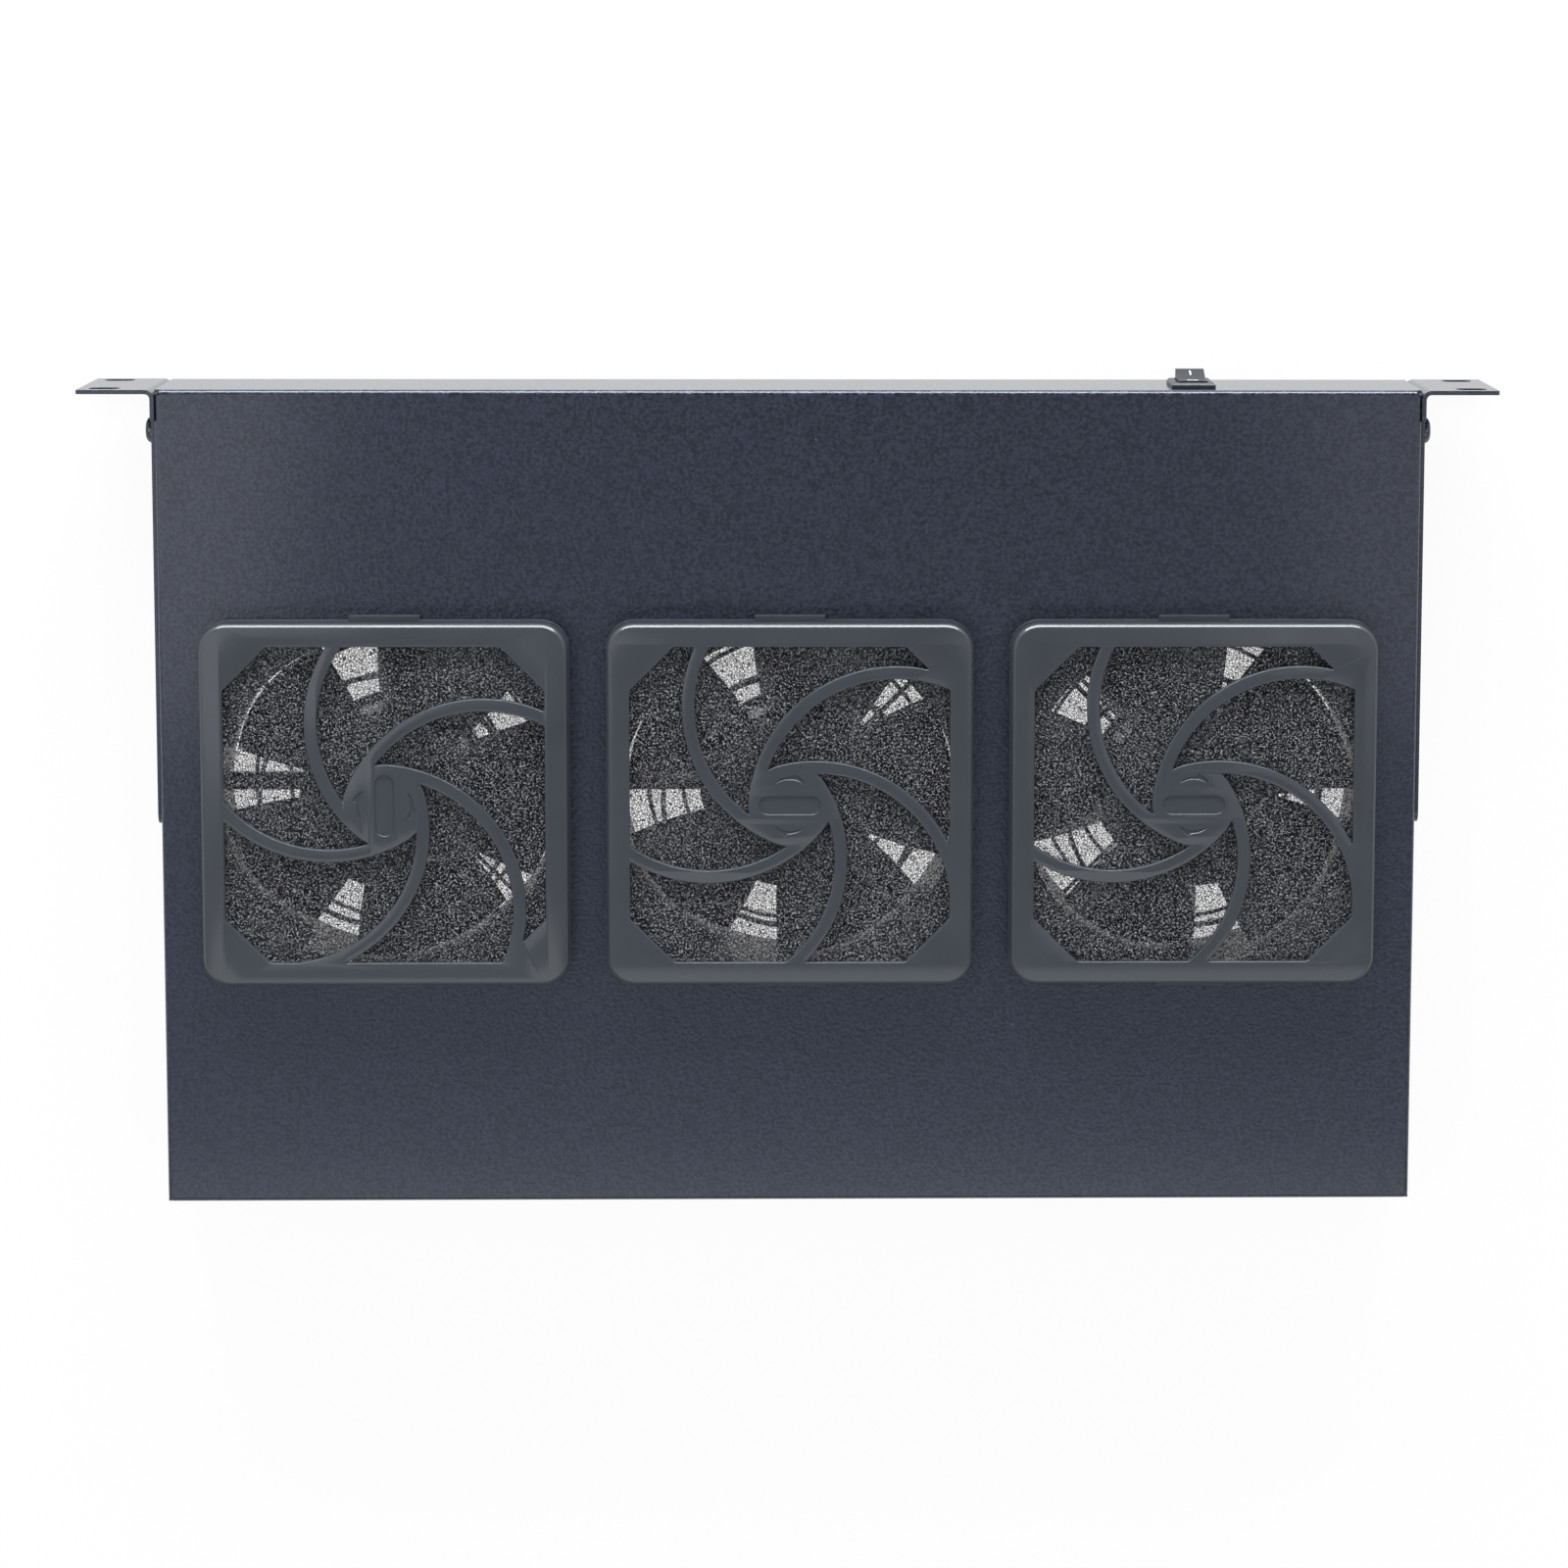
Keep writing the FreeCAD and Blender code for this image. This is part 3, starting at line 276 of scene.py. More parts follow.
@dataclass(frozen=True)
class PowderCoat:
    """Textured powder coat: leather-like relief with painted shade in its hollows and painted light on its
    crests, faint mottling and a few dust specks.
    """

    name: str = "powder_coat"
    colour: Colour = (0.0075, 0.0090, 0.0150)
    tint: Colour = (0.64, 0.73, 1.0)
    dust: Colour = (0.16, 0.17, 0.19)
    roughness: float = 0.36
    relief_size: float = 1.2 * MM
    relief_depth: float = 0.3 * MM
    relief_rough: float = 0.55
    # Ramp of the relief that sets the painted shade in its hollows and the painted light on its crests.
    relief_stops: Stops = ((0.38, 0.0), (0.62, 1.0))
    sheen_spread: float = 0.25
    mottle_size: float = 60 * MM
    mottle_spread: float = 0.05
    # Factors on the colour: painted shade in the relief's hollows, painted light on its crests.
    hollow: float = 0.35
    crest: float = 2.0
    shine: float = 0.6
    gloss: float = 0.62
    gloss_roughness: float = 0.12
    gloss_index: float = 1.4
    speck_pitch: float = 17 * MM
    speck_radius: float = 0.011

    def build(self) -> bpy.types.Material:
        """Make the material.

        Returns:
            The finished material.
        """
        graph = Graph(bpy.data.materials.new(self.name))
        leather = graph.noise(self.relief_size, detail=3.0, rough=self.relief_rough)
        mottle = graph.noise(self.mottle_size, detail=3.0)
        # Painted shade and painted light: the colour is darkened in the relief's hollows and lightened on
        # its crests.
        low, high = rgba(self.colour, self.hollow), rgba(self.colour, self.crest)
        tone = graph.mix(graph.ramp(leather, self.relief_stops), low, high)
        speck = graph.cells(self.speck_pitch) < self.speck_radius
        sheen = self.roughness + (leather - 0.5) * self.sheen_spread
        varied = {
            "Base Color": graph.mix(speck, tone, rgba(self.dust)),
            "Roughness": sheen + (mottle - 0.5) * self.mottle_spread,
            "Normal": graph.bump(leather, self.relief_depth),
        }
        fixed = {
            "Specular IOR Level": self.shine,
            "Specular Tint": rgba(self.tint),
            "Coat Weight": self.gloss,
            "Coat Roughness": self.gloss_roughness,
            "Coat IOR": self.gloss_index,
        }
        return graph.surface(varied, fixed)


@dataclass(frozen=True)
class MouldedPlastic:
    """Moulded thermoplastic with a fine spark grain and handling haze."""

    name: str
    colour: Colour
    roughness: float = 0.5
    grain_size: float = 0.35 * MM
    grain_depth: float = 0.05 * MM
    haze: float = 0.12
    haze_size: float = 22 * MM
    haze_stops: Stops = ((0.35, 0.0), (0.75, 1.0))
    shine: float = 0.5
    tint: Colour = (0.82, 0.91, 1.0)
    gloss: float = 0.5
    gloss_roughness: float = 0.15

    def build(self) -> bpy.types.Material:
        """Make the material.

        Returns:
            The finished material.
        """
        graph = Graph(bpy.data.materials.new(self.name))
        grain = graph.noise(self.grain_size, detail=2.0)
        haze = graph.ramp(graph.noise(self.haze_size, detail=4.0), self.haze_stops)
        varied = {
            "Base Color": graph.mix(haze, rgba(self.colour), rgba(self.colour, 1 + 2 * self.haze)),
            "Roughness": self.roughness + haze * self.haze - 0.5 * self.haze,
            "Normal": graph.bump(grain, self.grain_depth),
        }
        fixed = {
            "Specular IOR Level": self.shine,
            "Specular Tint": rgba(self.tint),
            "Coat Weight": self.gloss,
            "Coat Roughness": self.gloss_roughness,
        }
        return graph.surface(varied, fixed)


@dataclass(frozen=True)
class Plating:
    """Plated or ground metal with fine scratches and a slight tone change."""

    name: str
    colour: Colour
    roughness: float = 0.28
    scratch_size: float = 0.5 * MM
    scratch_depth: float = 0.004 * MM
    scratch_rough: float = 0.7
    sheen_spread: float = 0.25
    patch_size: float = 6 * MM
    patch_tone: float = 0.8

    def build(self) -> bpy.types.Material:
        """Make the material.

        Returns:
            The finished material.
        """
        graph = Graph(bpy.data.materials.new(self.name))
        scratch = graph.noise(self.scratch_size, detail=4.0, rough=self.scratch_rough)
        patch = graph.noise(self.patch_size, detail=2.0)
        varied = {
            "Base Color": graph.mix(patch, rgba(self.colour, self.patch_tone), rgba(self.colour)),
            "Roughness": self.roughness + (scratch - 0.5) * self.sheen_spread,
            "Normal": graph.bump(scratch, self.scratch_depth),
        }
        return graph.surface(varied, {"Metallic": 1.0})


@dataclass(frozen=True)
class CastEnamel:
    """Black enamel over a die casting: soft orange peel with thin worn high spots."""

    name: str = "cast_enamel"
    colour: Colour = (0.018, 0.019, 0.021)
    bare: Colour = (0.09, 0.09, 0.095)
    roughness: float = 0.42
    peel_size: float = 1.6 * MM
    peel_depth: float = 0.04 * MM
    sheen_spread: float = 0.2
    wear_size: float = 9 * MM
    wear_rough: float = 0.7
    wear_stops: Stops = ((0.66, 0.0), (0.78, 0.6))

    def build(self) -> bpy.types.Material:
        """Make the material.

        Returns:
            The finished material.
        """
        graph = Graph(bpy.data.materials.new(self.name))
        peel = graph.noise(self.peel_size, detail=2.0)
        wear = graph.noise(self.wear_size, detail=6.0, rough=self.wear_rough)
        worn = graph.ramp(wear, self.wear_stops)
        varied = {
            "Base Color": graph.mix(worn, rgba(self.colour), rgba(self.bare)),
            "Roughness": self.roughness + (peel - 0.5) * self.sheen_spread,
            "Normal": graph.bump(peel, self.peel_depth),
        }
        return graph.surface(varied, {"Specular IOR Level": 0.5})


@dataclass(frozen=True)
class OpenFoam:
    """Reticulated filter foam: a network of struts with open pores between them, some struts painted
    near-black as shade deep in the pad.
    """

    name: str = "filter_foam"
    colour: Colour = (0.26, 0.265, 0.29)
    # Painted shade of the struts that lie deep in the pad.
    shade: Colour = (0.005, 0.005, 0.007)
    cell: float = 0.9 * MM
    strut: float = 0.062
    soft: float = 0.03
    # Noise that picks the struts painted in the shade colour, and where it turns.
    depth_size: float = 0.72 * MM
    depth_stops: Stops = ((0.51, 1.0), (0.57, 0.0))
    relief: float = 0.3 * MM
    roughness: float = 0.85
    shine: float = 0.3

    def build(self) -> bpy.types.Material:
        """Make the material.

        Returns:
            The finished material.
        """
        graph = Graph(bpy.data.materials.new(self.name))
        edge = graph.cells(self.cell, "DISTANCE_TO_EDGE")
        cover = graph.ramp(edge, ((self.strut, 1.0), (self.strut + self.soft, 0.0)))
        # Painted shade: where this mask is one the struts take the shade colour, as if deep in the pad.
        deep = graph.ramp(graph.noise(self.depth_size, detail=1.0), self.depth_stops)
        varied = {
            "Base Color": graph.mix(deep, rgba(self.colour), rgba(self.shade)),
            "Alpha": cover,
            "Normal": graph.bump(edge, self.relief),
        }
        return graph.surface(varied, {"Roughness": self.roughness, "Specular IOR Level": self.shine})


@dataclass(frozen=True)
class LeadSheath:
    """Insulation of a lead: soft sheen with small scuffs; a stripe colour where it has one."""

    name: str
    colour: Colour
    stripe: Colour | None = None
    stripe_pitch: float = 9 * MM
    stripe_edge: float = 0.62
    roughness: float = 0.42
    scuff_size: float = 0.8 * MM
    scuff_depth: float = 0.01 * MM
    scuff_spread: float = 0.2
    shine: float = 0.4

    def build(self) -> bpy.types.Material:
        """Make the material.

        Returns:
            The finished material.
        """
        graph = Graph(bpy.data.materials.new(self.name))
        scuff = graph.noise(self.scuff_size, detail=3.0)
        base: Value = rgba(self.colour)
        if self.stripe:
            inputs = {"Vector": graph.place(), "Scale": 1 / self.stripe_pitch}
            bands = graph.node("ShaderNodeTexWave", {"bands_direction": "DIAGONAL"}, inputs)
            base = graph.mix(bands > self.stripe_edge, rgba(self.colour), rgba(self.stripe))
        varied = {
            "Base Color": base,
            "Roughness": self.roughness + scuff * self.scuff_spread,
            "Normal": graph.bump(scuff, self.scuff_depth),
        }
        return graph.surface(varied, {"Specular IOR Level": self.shine})


@dataclass(frozen=True)
class Winding:
    """Varnished stator: thin laminations around the core and copper coils."""

    name: str = "stator_winding"
    copper: Colour = (0.30, 0.10, 0.045)
    iron: Colour = (0.10, 0.095, 0.09)
    wire: float = 0.45 * MM
    relief: float = 0.08 * MM
    roughness: float = 0.38
    metal: float = 0.6

    def build(self) -> bpy.types.Material:
        """Make the material.

        Returns:
            The finished material.
        """
        graph = Graph(bpy.data.materials.new(self.name))
        inputs = {"Vector": graph.place(), "Scale": 1 / self.wire / TURN * 2}
        rings = graph.node("ShaderNodeTexWave", {"bands_direction": "Z"}, inputs)
        varied = {
            "Base Color": graph.mix(rings, rgba(self.copper), rgba(self.iron)),
            "Normal": graph.bump(rings, self.relief),
        }
        return graph.surface(varied, {"Roughness": self.roughness, "Metallic": self.metal})


class Coat(Enum):
    """Finishes by the record's material slot."""

    TRAY_STEEL = PowderCoat()
    EAR_STEEL = PowderCoat("ear_powder_coat")
    BLACK_SCREW = Plating("black_zinc", (0.09, 0.095, 0.12), 0.26)
    ZINC = Plating("bright_zinc", (0.62, 0.62, 0.60), 0.3)
    DIE_CAST = CastEnamel()
    ROTOR_PLASTIC = MouldedPlastic("rotor_plastic", (0.017, 0.017, 0.019), 0.42)
    STEEL = Plating("ground_steel", (0.58, 0.58, 0.58), 0.24)
    STATOR = Winding()
    GUARD_WIRE = Plating("nickel_wire", (0.60, 0.60, 0.61), 0.2)
    FILTER_PLASTIC = MouldedPlastic("filter_plastic", (0.019, 0.022, 0.029), 0.5)
    FOAM = OpenFoam()
    SWITCH_PLASTIC = MouldedPlastic("switch_plastic", (0.010, 0.011, 0.015), 0.45, haze=0.05, gloss=0.1)
    BRASS = Plating("tinned_brass", (0.66, 0.52, 0.30), 0.26)
    INLET_PLASTIC = MouldedPlastic("inlet_plastic", (0.017, 0.017, 0.018), 0.4)
    INSULATION = LeadSheath("black_sheath", (0.018, 0.018, 0.019))
    BLOCK_PLASTIC = MouldedPlastic("natural_nylon", (0.62, 0.60, 0.54), 0.45)
    CORE_BROWN = LeadSheath("brown_core", (0.16, 0.065, 0.03))
    CORE_EARTH = LeadSheath("earth_core", (0.13, 0.34, 0.05), (0.62, 0.60, 0.05))
    MARK_WHITE = MouldedPlastic("mark_white", (0.72, 0.72, 0.70), 0.55, haze=0.02)


class Paintbox:
    """Builds each finish once."""

    def __init__(self) -> None:
        """Start with no materials."""
        self._made: dict[Coat, bpy.types.Material] = {}

    def __getitem__(self, coat: Coat) -> bpy.types.Material:
        """The material of a finish.

        Args:
            coat: The finish that is wanted.

        Returns:
            Its material, built the first time that it is asked for.
        """
        if coat not in self._made:
            self._made[coat] = coat.value.build()
        return self._made[coat]

    def for_slot(self, slot: str) -> bpy.types.Material:
        """The material of a record slot."""
        return self[Coat[slot.upper()]]


# --- Outlines


def arc(centre: Point, radius: float, start: float, end: float, step: float) -> list[Point]:
    """Points of an arc.

    Args:
        centre: Centre of the arc.
        radius: Its radius.
        start: First angle in degrees.
        end: Last angle in degrees.
        step: Largest angle between points.

    Returns:
        The points, both ends included.
    """
    count = max(2, math.ceil(abs(end - start) / step) + 1)
    angles = [math.radians(start + (end - start) * k / (count - 1)) for k in range(count)]
    return [(centre[0] + radius * math.cos(a), centre[1] + radius * math.sin(a)) for a in angles]


def circle(radius: float, sides: int) -> list[Point]:
    """Points of a whole circle around the middle, without the first one repeated."""
    return arc((0, 0), radius, 0, 360 - 360 / sides, 360 / sides)


def bearing(point: Point) -> float:
    """Direction of a point from the middle, in degrees."""
    return math.degrees(math.atan2(point[1], point[0]))


def rounded_box(half_x: float, half_y: float, radius: float, step: float = 10) -> list[Point]:
    """A rectangle with round corners, anticlockwise.

    Args:
        half_x: Half the length along X.
        half_y: Half the length along Y.
        radius: Radius of the corners.
        step: Largest angle between points.

    Returns:
        The points.
    """
    points: list[Point] = []
    for turn, (sx, sy) in enumerate(((1, 1), (-1, 1), (-1, -1), (1, -1))):
        centre = (sx * (half_x - radius), sy * (half_y - radius))
        points += arc(centre, radius, 90 * turn, 90 * (turn + 1), step)
    return points


def grown(outline: Sequence[Point], distance: float, limit: float = 2.5) -> list[Point]:
    """An anticlockwise outline moved outwards by a distance.

    Args:
        outline: The points.
        distance: How far; negative moves inwards.
        limit: Longest mitre as a multiple of the distance.

    Returns:
        As many points as came in.
    """
    moved = []
    count = len(outline)
    for k in range(count):
        before = Vector(outline[k]) - Vector(outline[k - 1])
        after = Vector(outline[(k + 1) % count]) - Vector(outline[k])
        first = Vector((before.y, -before.x)).normalized()
        second = Vector((after.y, -after.x)).normalized()
        along = first + second
        reach = min(limit, 2 / max(along.length_squared, TINY) * along.length)
        moved.append(tuple(Vector(outline[k]) + along.normalized() * distance * reach))
    return moved


def eased(outline: Sequence[Point], radius: float, sharp: float = 25) -> list[Point]:
    """Round the sharp corners of an outline.

    Args:
        outline: The points.
        radius: How far along each side a corner's curve starts.
        sharp: Smallest change of direction, in degrees, that counts as a corner.

    Returns:
        The outline with a short curve at each sharp corner.
    """
    points: list[Point] = []
    count = len(outline)
    for k in range(count):
        here = Vector(outline[k])
        before = Vector(outline[k - 1]) - here
        after = Vector(outline[(k + 1) % count]) - here
        if 180 - math.degrees(before.angle(after)) < sharp:
            points.append(outline[k])
            continue
        start = here + before.normalized() * min(radius, before.length * EASED_SHARE)
        end = here + after.normalized() * min(radius, after.length * EASED_SHARE)
        for t in (0.0, 0.25, 0.5, 0.75, 1.0):
            points.append(tuple(start.lerp(here, t).lerp(here.lerp(end, t), t)))
    return points


# --- Meshes


class Shell:
    """A closed mesh made from loops of points, in millimetres from a centre."""

    def __init__(self) -> None:
        """Start empty."""
        self.mesh = bmesh.new()

    def loop(self, outline: Sequence[Point], height: float) -> list[Vert]:
        """Add the points of an outline at a height."""
        return [self.mesh.verts.new((x, y, height)) for x, y in outline]

    def band(self, first: Sequence[Vert], second: Sequence[Vert]) -> None:
        """Join two loops of the same count with four-sided faces.

        Args:
            first: The points of one loop.
            second: The points of the other, in the same order.
        """
        for k in range(len(first)):
            quad = (first[k - 1], first[k], second[k], second[k - 1])
            self.mesh.faces.new(quad)

    def stack(self, loops: Sequence[Sequence[Vert]]) -> None:
        """Join each loop to the next."""
        for first, second in zip(loops, loops[1:]):
            self.band(first, second)

    def cap(self, outer: Sequence[Vert], holes: Sequence[Sequence[Vert]] = ()) -> None:
        """Fill a flat loop around its holes.

        Args:
            outer: The loop to fill.
            holes: Loops inside it that stay open.
        """
        loops = [list(outer), *[list(h) for h in holes]]
        verts = [v for one in loops for v in one]
        for triangle in tessellate_polygon([[v.co for v in one] for one in loops]):
            self.mesh.faces.new([verts[k] for k in triangle])

    def rim(
        self, outline: Sequence[Point], top: float, radius: float, into: int, steps: int = 3
    ) -> list[list[Vert]]:
        """Loops of a rounded upper edge.

        Args:
            outline: The outline below the edge.
            top: Height of the face above it.
            radius: The edge's radius.
            into: 1 where the material lies outside the outline, -1 where inside.
            steps: Number of bands.

        Returns:
            The loops from the face down to the wall.
        """
        loops = []
        for k in range(steps + 1):
            angle = math.pi / 2 * k / steps
            shift = into * radius * (1 - math.sin(angle))
            height = top - radius * (1 - math.cos(angle))
            loops.append(self.loop(grown(outline, shift), height))
        self.stack(loops)
        return loops

    def box(self, low: Sequence[float], high: Sequence[float]) -> list[Vert]:
        """Add a closed box and return its corners.

        Args:
            low: Its lowest corner.
            high: Its highest corner.

        Returns:
            The eight corners.
        """
        middle = (Vector(low) + Vector(high)) / 2
        matrix = Matrix.LocRotScale(middle, None, Vector(high) - Vector(low))
        return bmesh.ops.create_cube(self.mesh, size=1.0, matrix=matrix)["verts"]

    def finish(self, name: str, matrix: Matrix, material: bpy.types.Material) -> bpy.types.Object:
        """Place the mesh and close it.

        Args:
            name: The piece's name.
            matrix: Its place, in metres, after the step from millimetres.
            material: Its finish.

        Returns:
            The object, at the origin.
        """
        bmesh.ops.recalc_face_normals(self.mesh, faces=self.mesh.faces)
        self.mesh.transform(matrix @ TO_METRES)
        return shown(name, plain_mesh(self.mesh, name), material)


def plain_mesh(work: bmesh.types.BMesh, name: str) -> bpy.types.Mesh:
    """Store a working mesh under a name and free it.

    Args:
        work: The working mesh.
        name: Name of the result.

    Returns:
        The plain mesh.
    """
    mesh = bpy.data.meshes.new(name)
    work.to_mesh(mesh)
    work.free()
    return mesh


def added(name: str, data: bpy.types.ID) -> bpy.types.Object:
    """A new object in the scene.

    Args:
        name: The object's name.
        data: The mesh, lamp or camera that it shows.

    Returns:
        The object, at the origin.
    """
    item = bpy.data.objects.new(name, data)
    bpy.context.scene.collection.objects.link(item)
    return item


def linked(name: str, mesh: bpy.types.Mesh, material: bpy.types.Material) -> bpy.types.Object:
    """Give a mesh its finish and link it as an object.

    Args:
        name: The piece's name.
        mesh: Its mesh.
        material: Its finish.

    Returns:
        The object.
    """
    mesh.name = name
    mesh.materials.clear()
    mesh.materials.append(material)
    return added(name, mesh)


def shown(name: str, mesh: bpy.types.Mesh, material: bpy.types.Material) -> bpy.types.Object:
    """Link a mesh as a smooth-shaded object with sharp edges kept.

    Args:
        name: The piece's name.
        mesh: Its mesh.
        material: Its finish.

    Returns:
        The object.
    """
    mesh.shade_smooth()
    mesh.set_sharp_from_angle(angle=SHARP)
    return linked(name, mesh, material)


def evaluated(source: bpy.types.Object, name: str) -> bpy.types.Mesh:
    """The plain mesh of an object after its modifiers, which is then removed.

    Args:
        source: The object, which is removed with its own mesh.
        name: Name of the result.

    Returns:
        The plain mesh.
    """
    graph = bpy.context.evaluated_depsgraph_get()
    mesh = bpy.data.meshes.new_from_object(source.evaluated_get(graph))
    mesh.name = name
    old = source.data
    bpy.data.objects.remove(source)
    bpy.data.meshes.remove(old)
    return mesh


def merged(source: bpy.types.Object) -> bmesh.types.BMesh:
    """A working copy of a CAD node's mesh with its loose triangles joined.

    Args:
        source: The CAD node, which stays as it is.

    Returns:
        The working mesh.
    """
    work = bmesh.new()
    work.from_mesh(source.data)
    bmesh.ops.remove_doubles(work, verts=work.verts, dist=SAME_POINT)
    return work


def stand_in(piece: bpy.types.Object, node: str, body: str, slot: str) -> bpy.types.Object:
    """Put a piece on a body in place of a CAD node.

    Args:
        piece: The finished piece.
        node: The CAD node that it replaces.
        body: The body that carries it.
        slot: Its material slot in the record; not used.

    Returns:
        The same piece.
    """
    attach(piece, body)
    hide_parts(node)
    return piece


@dataclass(frozen=True)
class Softener:
    """Copies a CAD node, joins its flat triangles and rounds its edges."""

    frame: dict
    paint: Paintbox
    flat: float = math.radians(0.6)
    edge: float = math.radians(38)

    def copy(self, node: str, width: float, segments: int = 2) -> bpy.types.Object:
        """Replace a node with a softened copy.

        Args:
            node: The CAD node.
            width: Width of the rounding in millimetres; nought leaves the edges sharp.
            segments: Bands in the rounding.

        Returns:
            The new piece.
        """
        work = merged(self.frame["nodes"][node])
        sides = {"verts": work.verts, "edges": work.edges, "use_dissolve_boundaries": False}
        bmesh.ops.dissolve_limit(work, angle_limit=self.flat, **sides)
        name = f"{node}_soft"
        mesh = plain_mesh(work, name)
        piece = added(name, mesh)
        mesh.shade_smooth()
        mesh.set_sharp_from_angle(angle=SHARP)
        if width:
            bevel = piece.modifiers.new("edges", "BEVEL")
            bevel.width = width * MM
            bevel.segments = segments
            bevel.limit_method = "ANGLE"
            bevel.angle_limit = self.edge
        weighted = piece.modifiers.new("flats", "WEIGHTED_NORMAL")
        weighted.keep_sharp = not width
        slot = slot_of(self.frame, node)
        piece = linked(name, evaluated(piece, name), self.paint.for_slot(slot))
        return stand_in(piece, node, body_of(self.frame, node), slot)


def slot_of(frame: dict, node: str) -> str:
    """The record's material slot of a node."""
    return next(p["material_slot"] for p in frame["record"]["subparts"] if p["node"] == node)


def body_of(frame: dict, node: str) -> str:
    """The body that carries a node."""
    bodies = frame["record"]["behaviour"]["bodies"]
    return next(body for body, nodes in bodies.items() if node in nodes)


# --- Geometry Nodes


class Socket(Enum):
    """Kinds of input that the trees take."""

    LENGTH = "NodeSocketFloat"
    COUNT = "NodeSocketInt"
    OBJECT = "NodeSocketObject"
    MATERIAL = "NodeSocketMaterial"


Flow = bpy.types.NodeSocket | bpy.types.Node


class Tree:
    """A geometry tree with named inputs."""

    def __init__(self, name: str, inputs: dict[str, Socket]) -> None:
        """Args:
            name: The tree's name.
            inputs: Input names and their kinds, after the geometry.
        """
        self.group = bpy.data.node_groups.new(name, "GeometryNodeTree")
        face = self.group.interface
        face.new_socket("Geometry", in_out="OUTPUT", socket_type="NodeSocketGeometry")
        face.new_socket("Geometry", in_out="INPUT", socket_type="NodeSocketGeometry")
        self.ids = {}
        for label, kind in inputs.items():
            socket = face.new_socket(label, in_out="INPUT", socket_type=kind.value)
            self.ids[label] = socket.identifier
        self.source = self.group.nodes.new("NodeGroupInput")

    def __getitem__(self, label: str) -> bpy.types.NodeSocket:
        """An input's socket."""
        return self.source.outputs[label]

    def node(
        self, kind: str, settings: dict[str, object] | None = None, inputs: dict | None = None
    ) -> bpy.types.Node:
        """Add a node.

        Args:
            kind: The node's type.
            settings: Properties that are set first.
            inputs: Values, sockets or nodes by socket name or index; a node gives its first output.

        Returns:
            The node.
        """
        node = self.group.nodes.new(kind)
        for key, value in (settings or {}).items():
            setattr(node, key, value)
        for key, value in (inputs or {}).items():
            if isinstance(value, bpy.types.Node):
                value = value.outputs[0]
            if isinstance(value, bpy.types.NodeSocket):
                self.group.links.new(value, node.inputs[key])
            else:
                node.inputs[key].default_value = value
        return node

    def math(self, operation: str, *values: Flow | float) -> bpy.types.Node:
        """Arithmetic on lengths."""
        return self.node("ShaderNodeMath", {"operation": operation}, dict(enumerate(values)))

    def vector(self, *values: Flow | float) -> bpy.types.Node:
        """A vector from its parts."""
        return self.node("ShaderNodeCombineXYZ", None, dict(enumerate(values)))

    def copies(self, points: Flow, thing: Flow, **how: Flow) -> bpy.types.Node:
        """Set a copy of a thing on each point, scaled or turned as the keywords say."""
        inputs = {"Points": points, "Instance": thing, **how}
        return self.node("GeometryNodeInstanceOnPoints", None, inputs)

    def end(self, parts: Iterable[bpy.types.Node], wire: bpy.types.Node | None) -> None:
        """Join the parts, realise them and give them their finish.

        Args:
            parts: Nodes whose geometry is joined.
            wire: A profile that the joined curves are swept with, if they are curves.
        """
        join = self.node("GeometryNodeJoinGeometry")
        for part in parts:
            self.group.links.new(part.outputs[0], join.inputs[0])
        whole = self.node("GeometryNodeRealizeInstances", None, {0: join})
        if wire:
            inputs = {"Curve": whole, "Profile Curve": wire}
            whole = self.node("GeometryNodeCurveToMesh", None, inputs)
        finish = self.node("GeometryNodeSetMaterial", None, {0: whole, 2: self["Finish"]})
        output = self.group.nodes.new("NodeGroupOutput")
        self.group.links.new(finish.outputs[0], output.inputs[0])

    def run(
        self, name: str, points: Sequence[Vector], values: dict[str, object], axes: Sequence[Vector] = ()
    ) -> bpy.types.Mesh:
        """Evaluate the tree on a set of points.

        Args:
            name: Name of the result.
            points: Where the repeated thing goes.
            values: A value for each named input.
            axes: Direction of each point's axis, where the tree asks for it.

        Returns:
            The plain mesh.
        """
        mesh = bpy.data.meshes.new(name)
        mesh.from_pydata([tuple(p) for p in points], [], [])
        if axes:
            layer = mesh.attributes.new(AXIS, "FLOAT_VECTOR", "POINT")
            layer.data.foreach_set("vector", [part for axis in axes for part in axis])
        carrier = added(name, mesh)
        modifier = carrier.modifiers.new(self.group.name, "NODES")
        modifier.node_group = self.group
        for label, value in values.items():
            modifier[self.ids[label]] = value
        carrier.update_tag()
        return evaluated(carrier, name)


RING_SIDES, EYE_SIDES, WIRE_SIDES = 72, 24, 10
SPIN_SEED = 7


def circle_curve(tree: Tree, sides: int, radius: Flow | float) -> bpy.types.Node:
    """A circle with a given number of sides."""
    inputs = {"Resolution": sides, "Radius": radius}
    return tree.node("GeometryNodeCurvePrimitiveCircle", None, inputs)


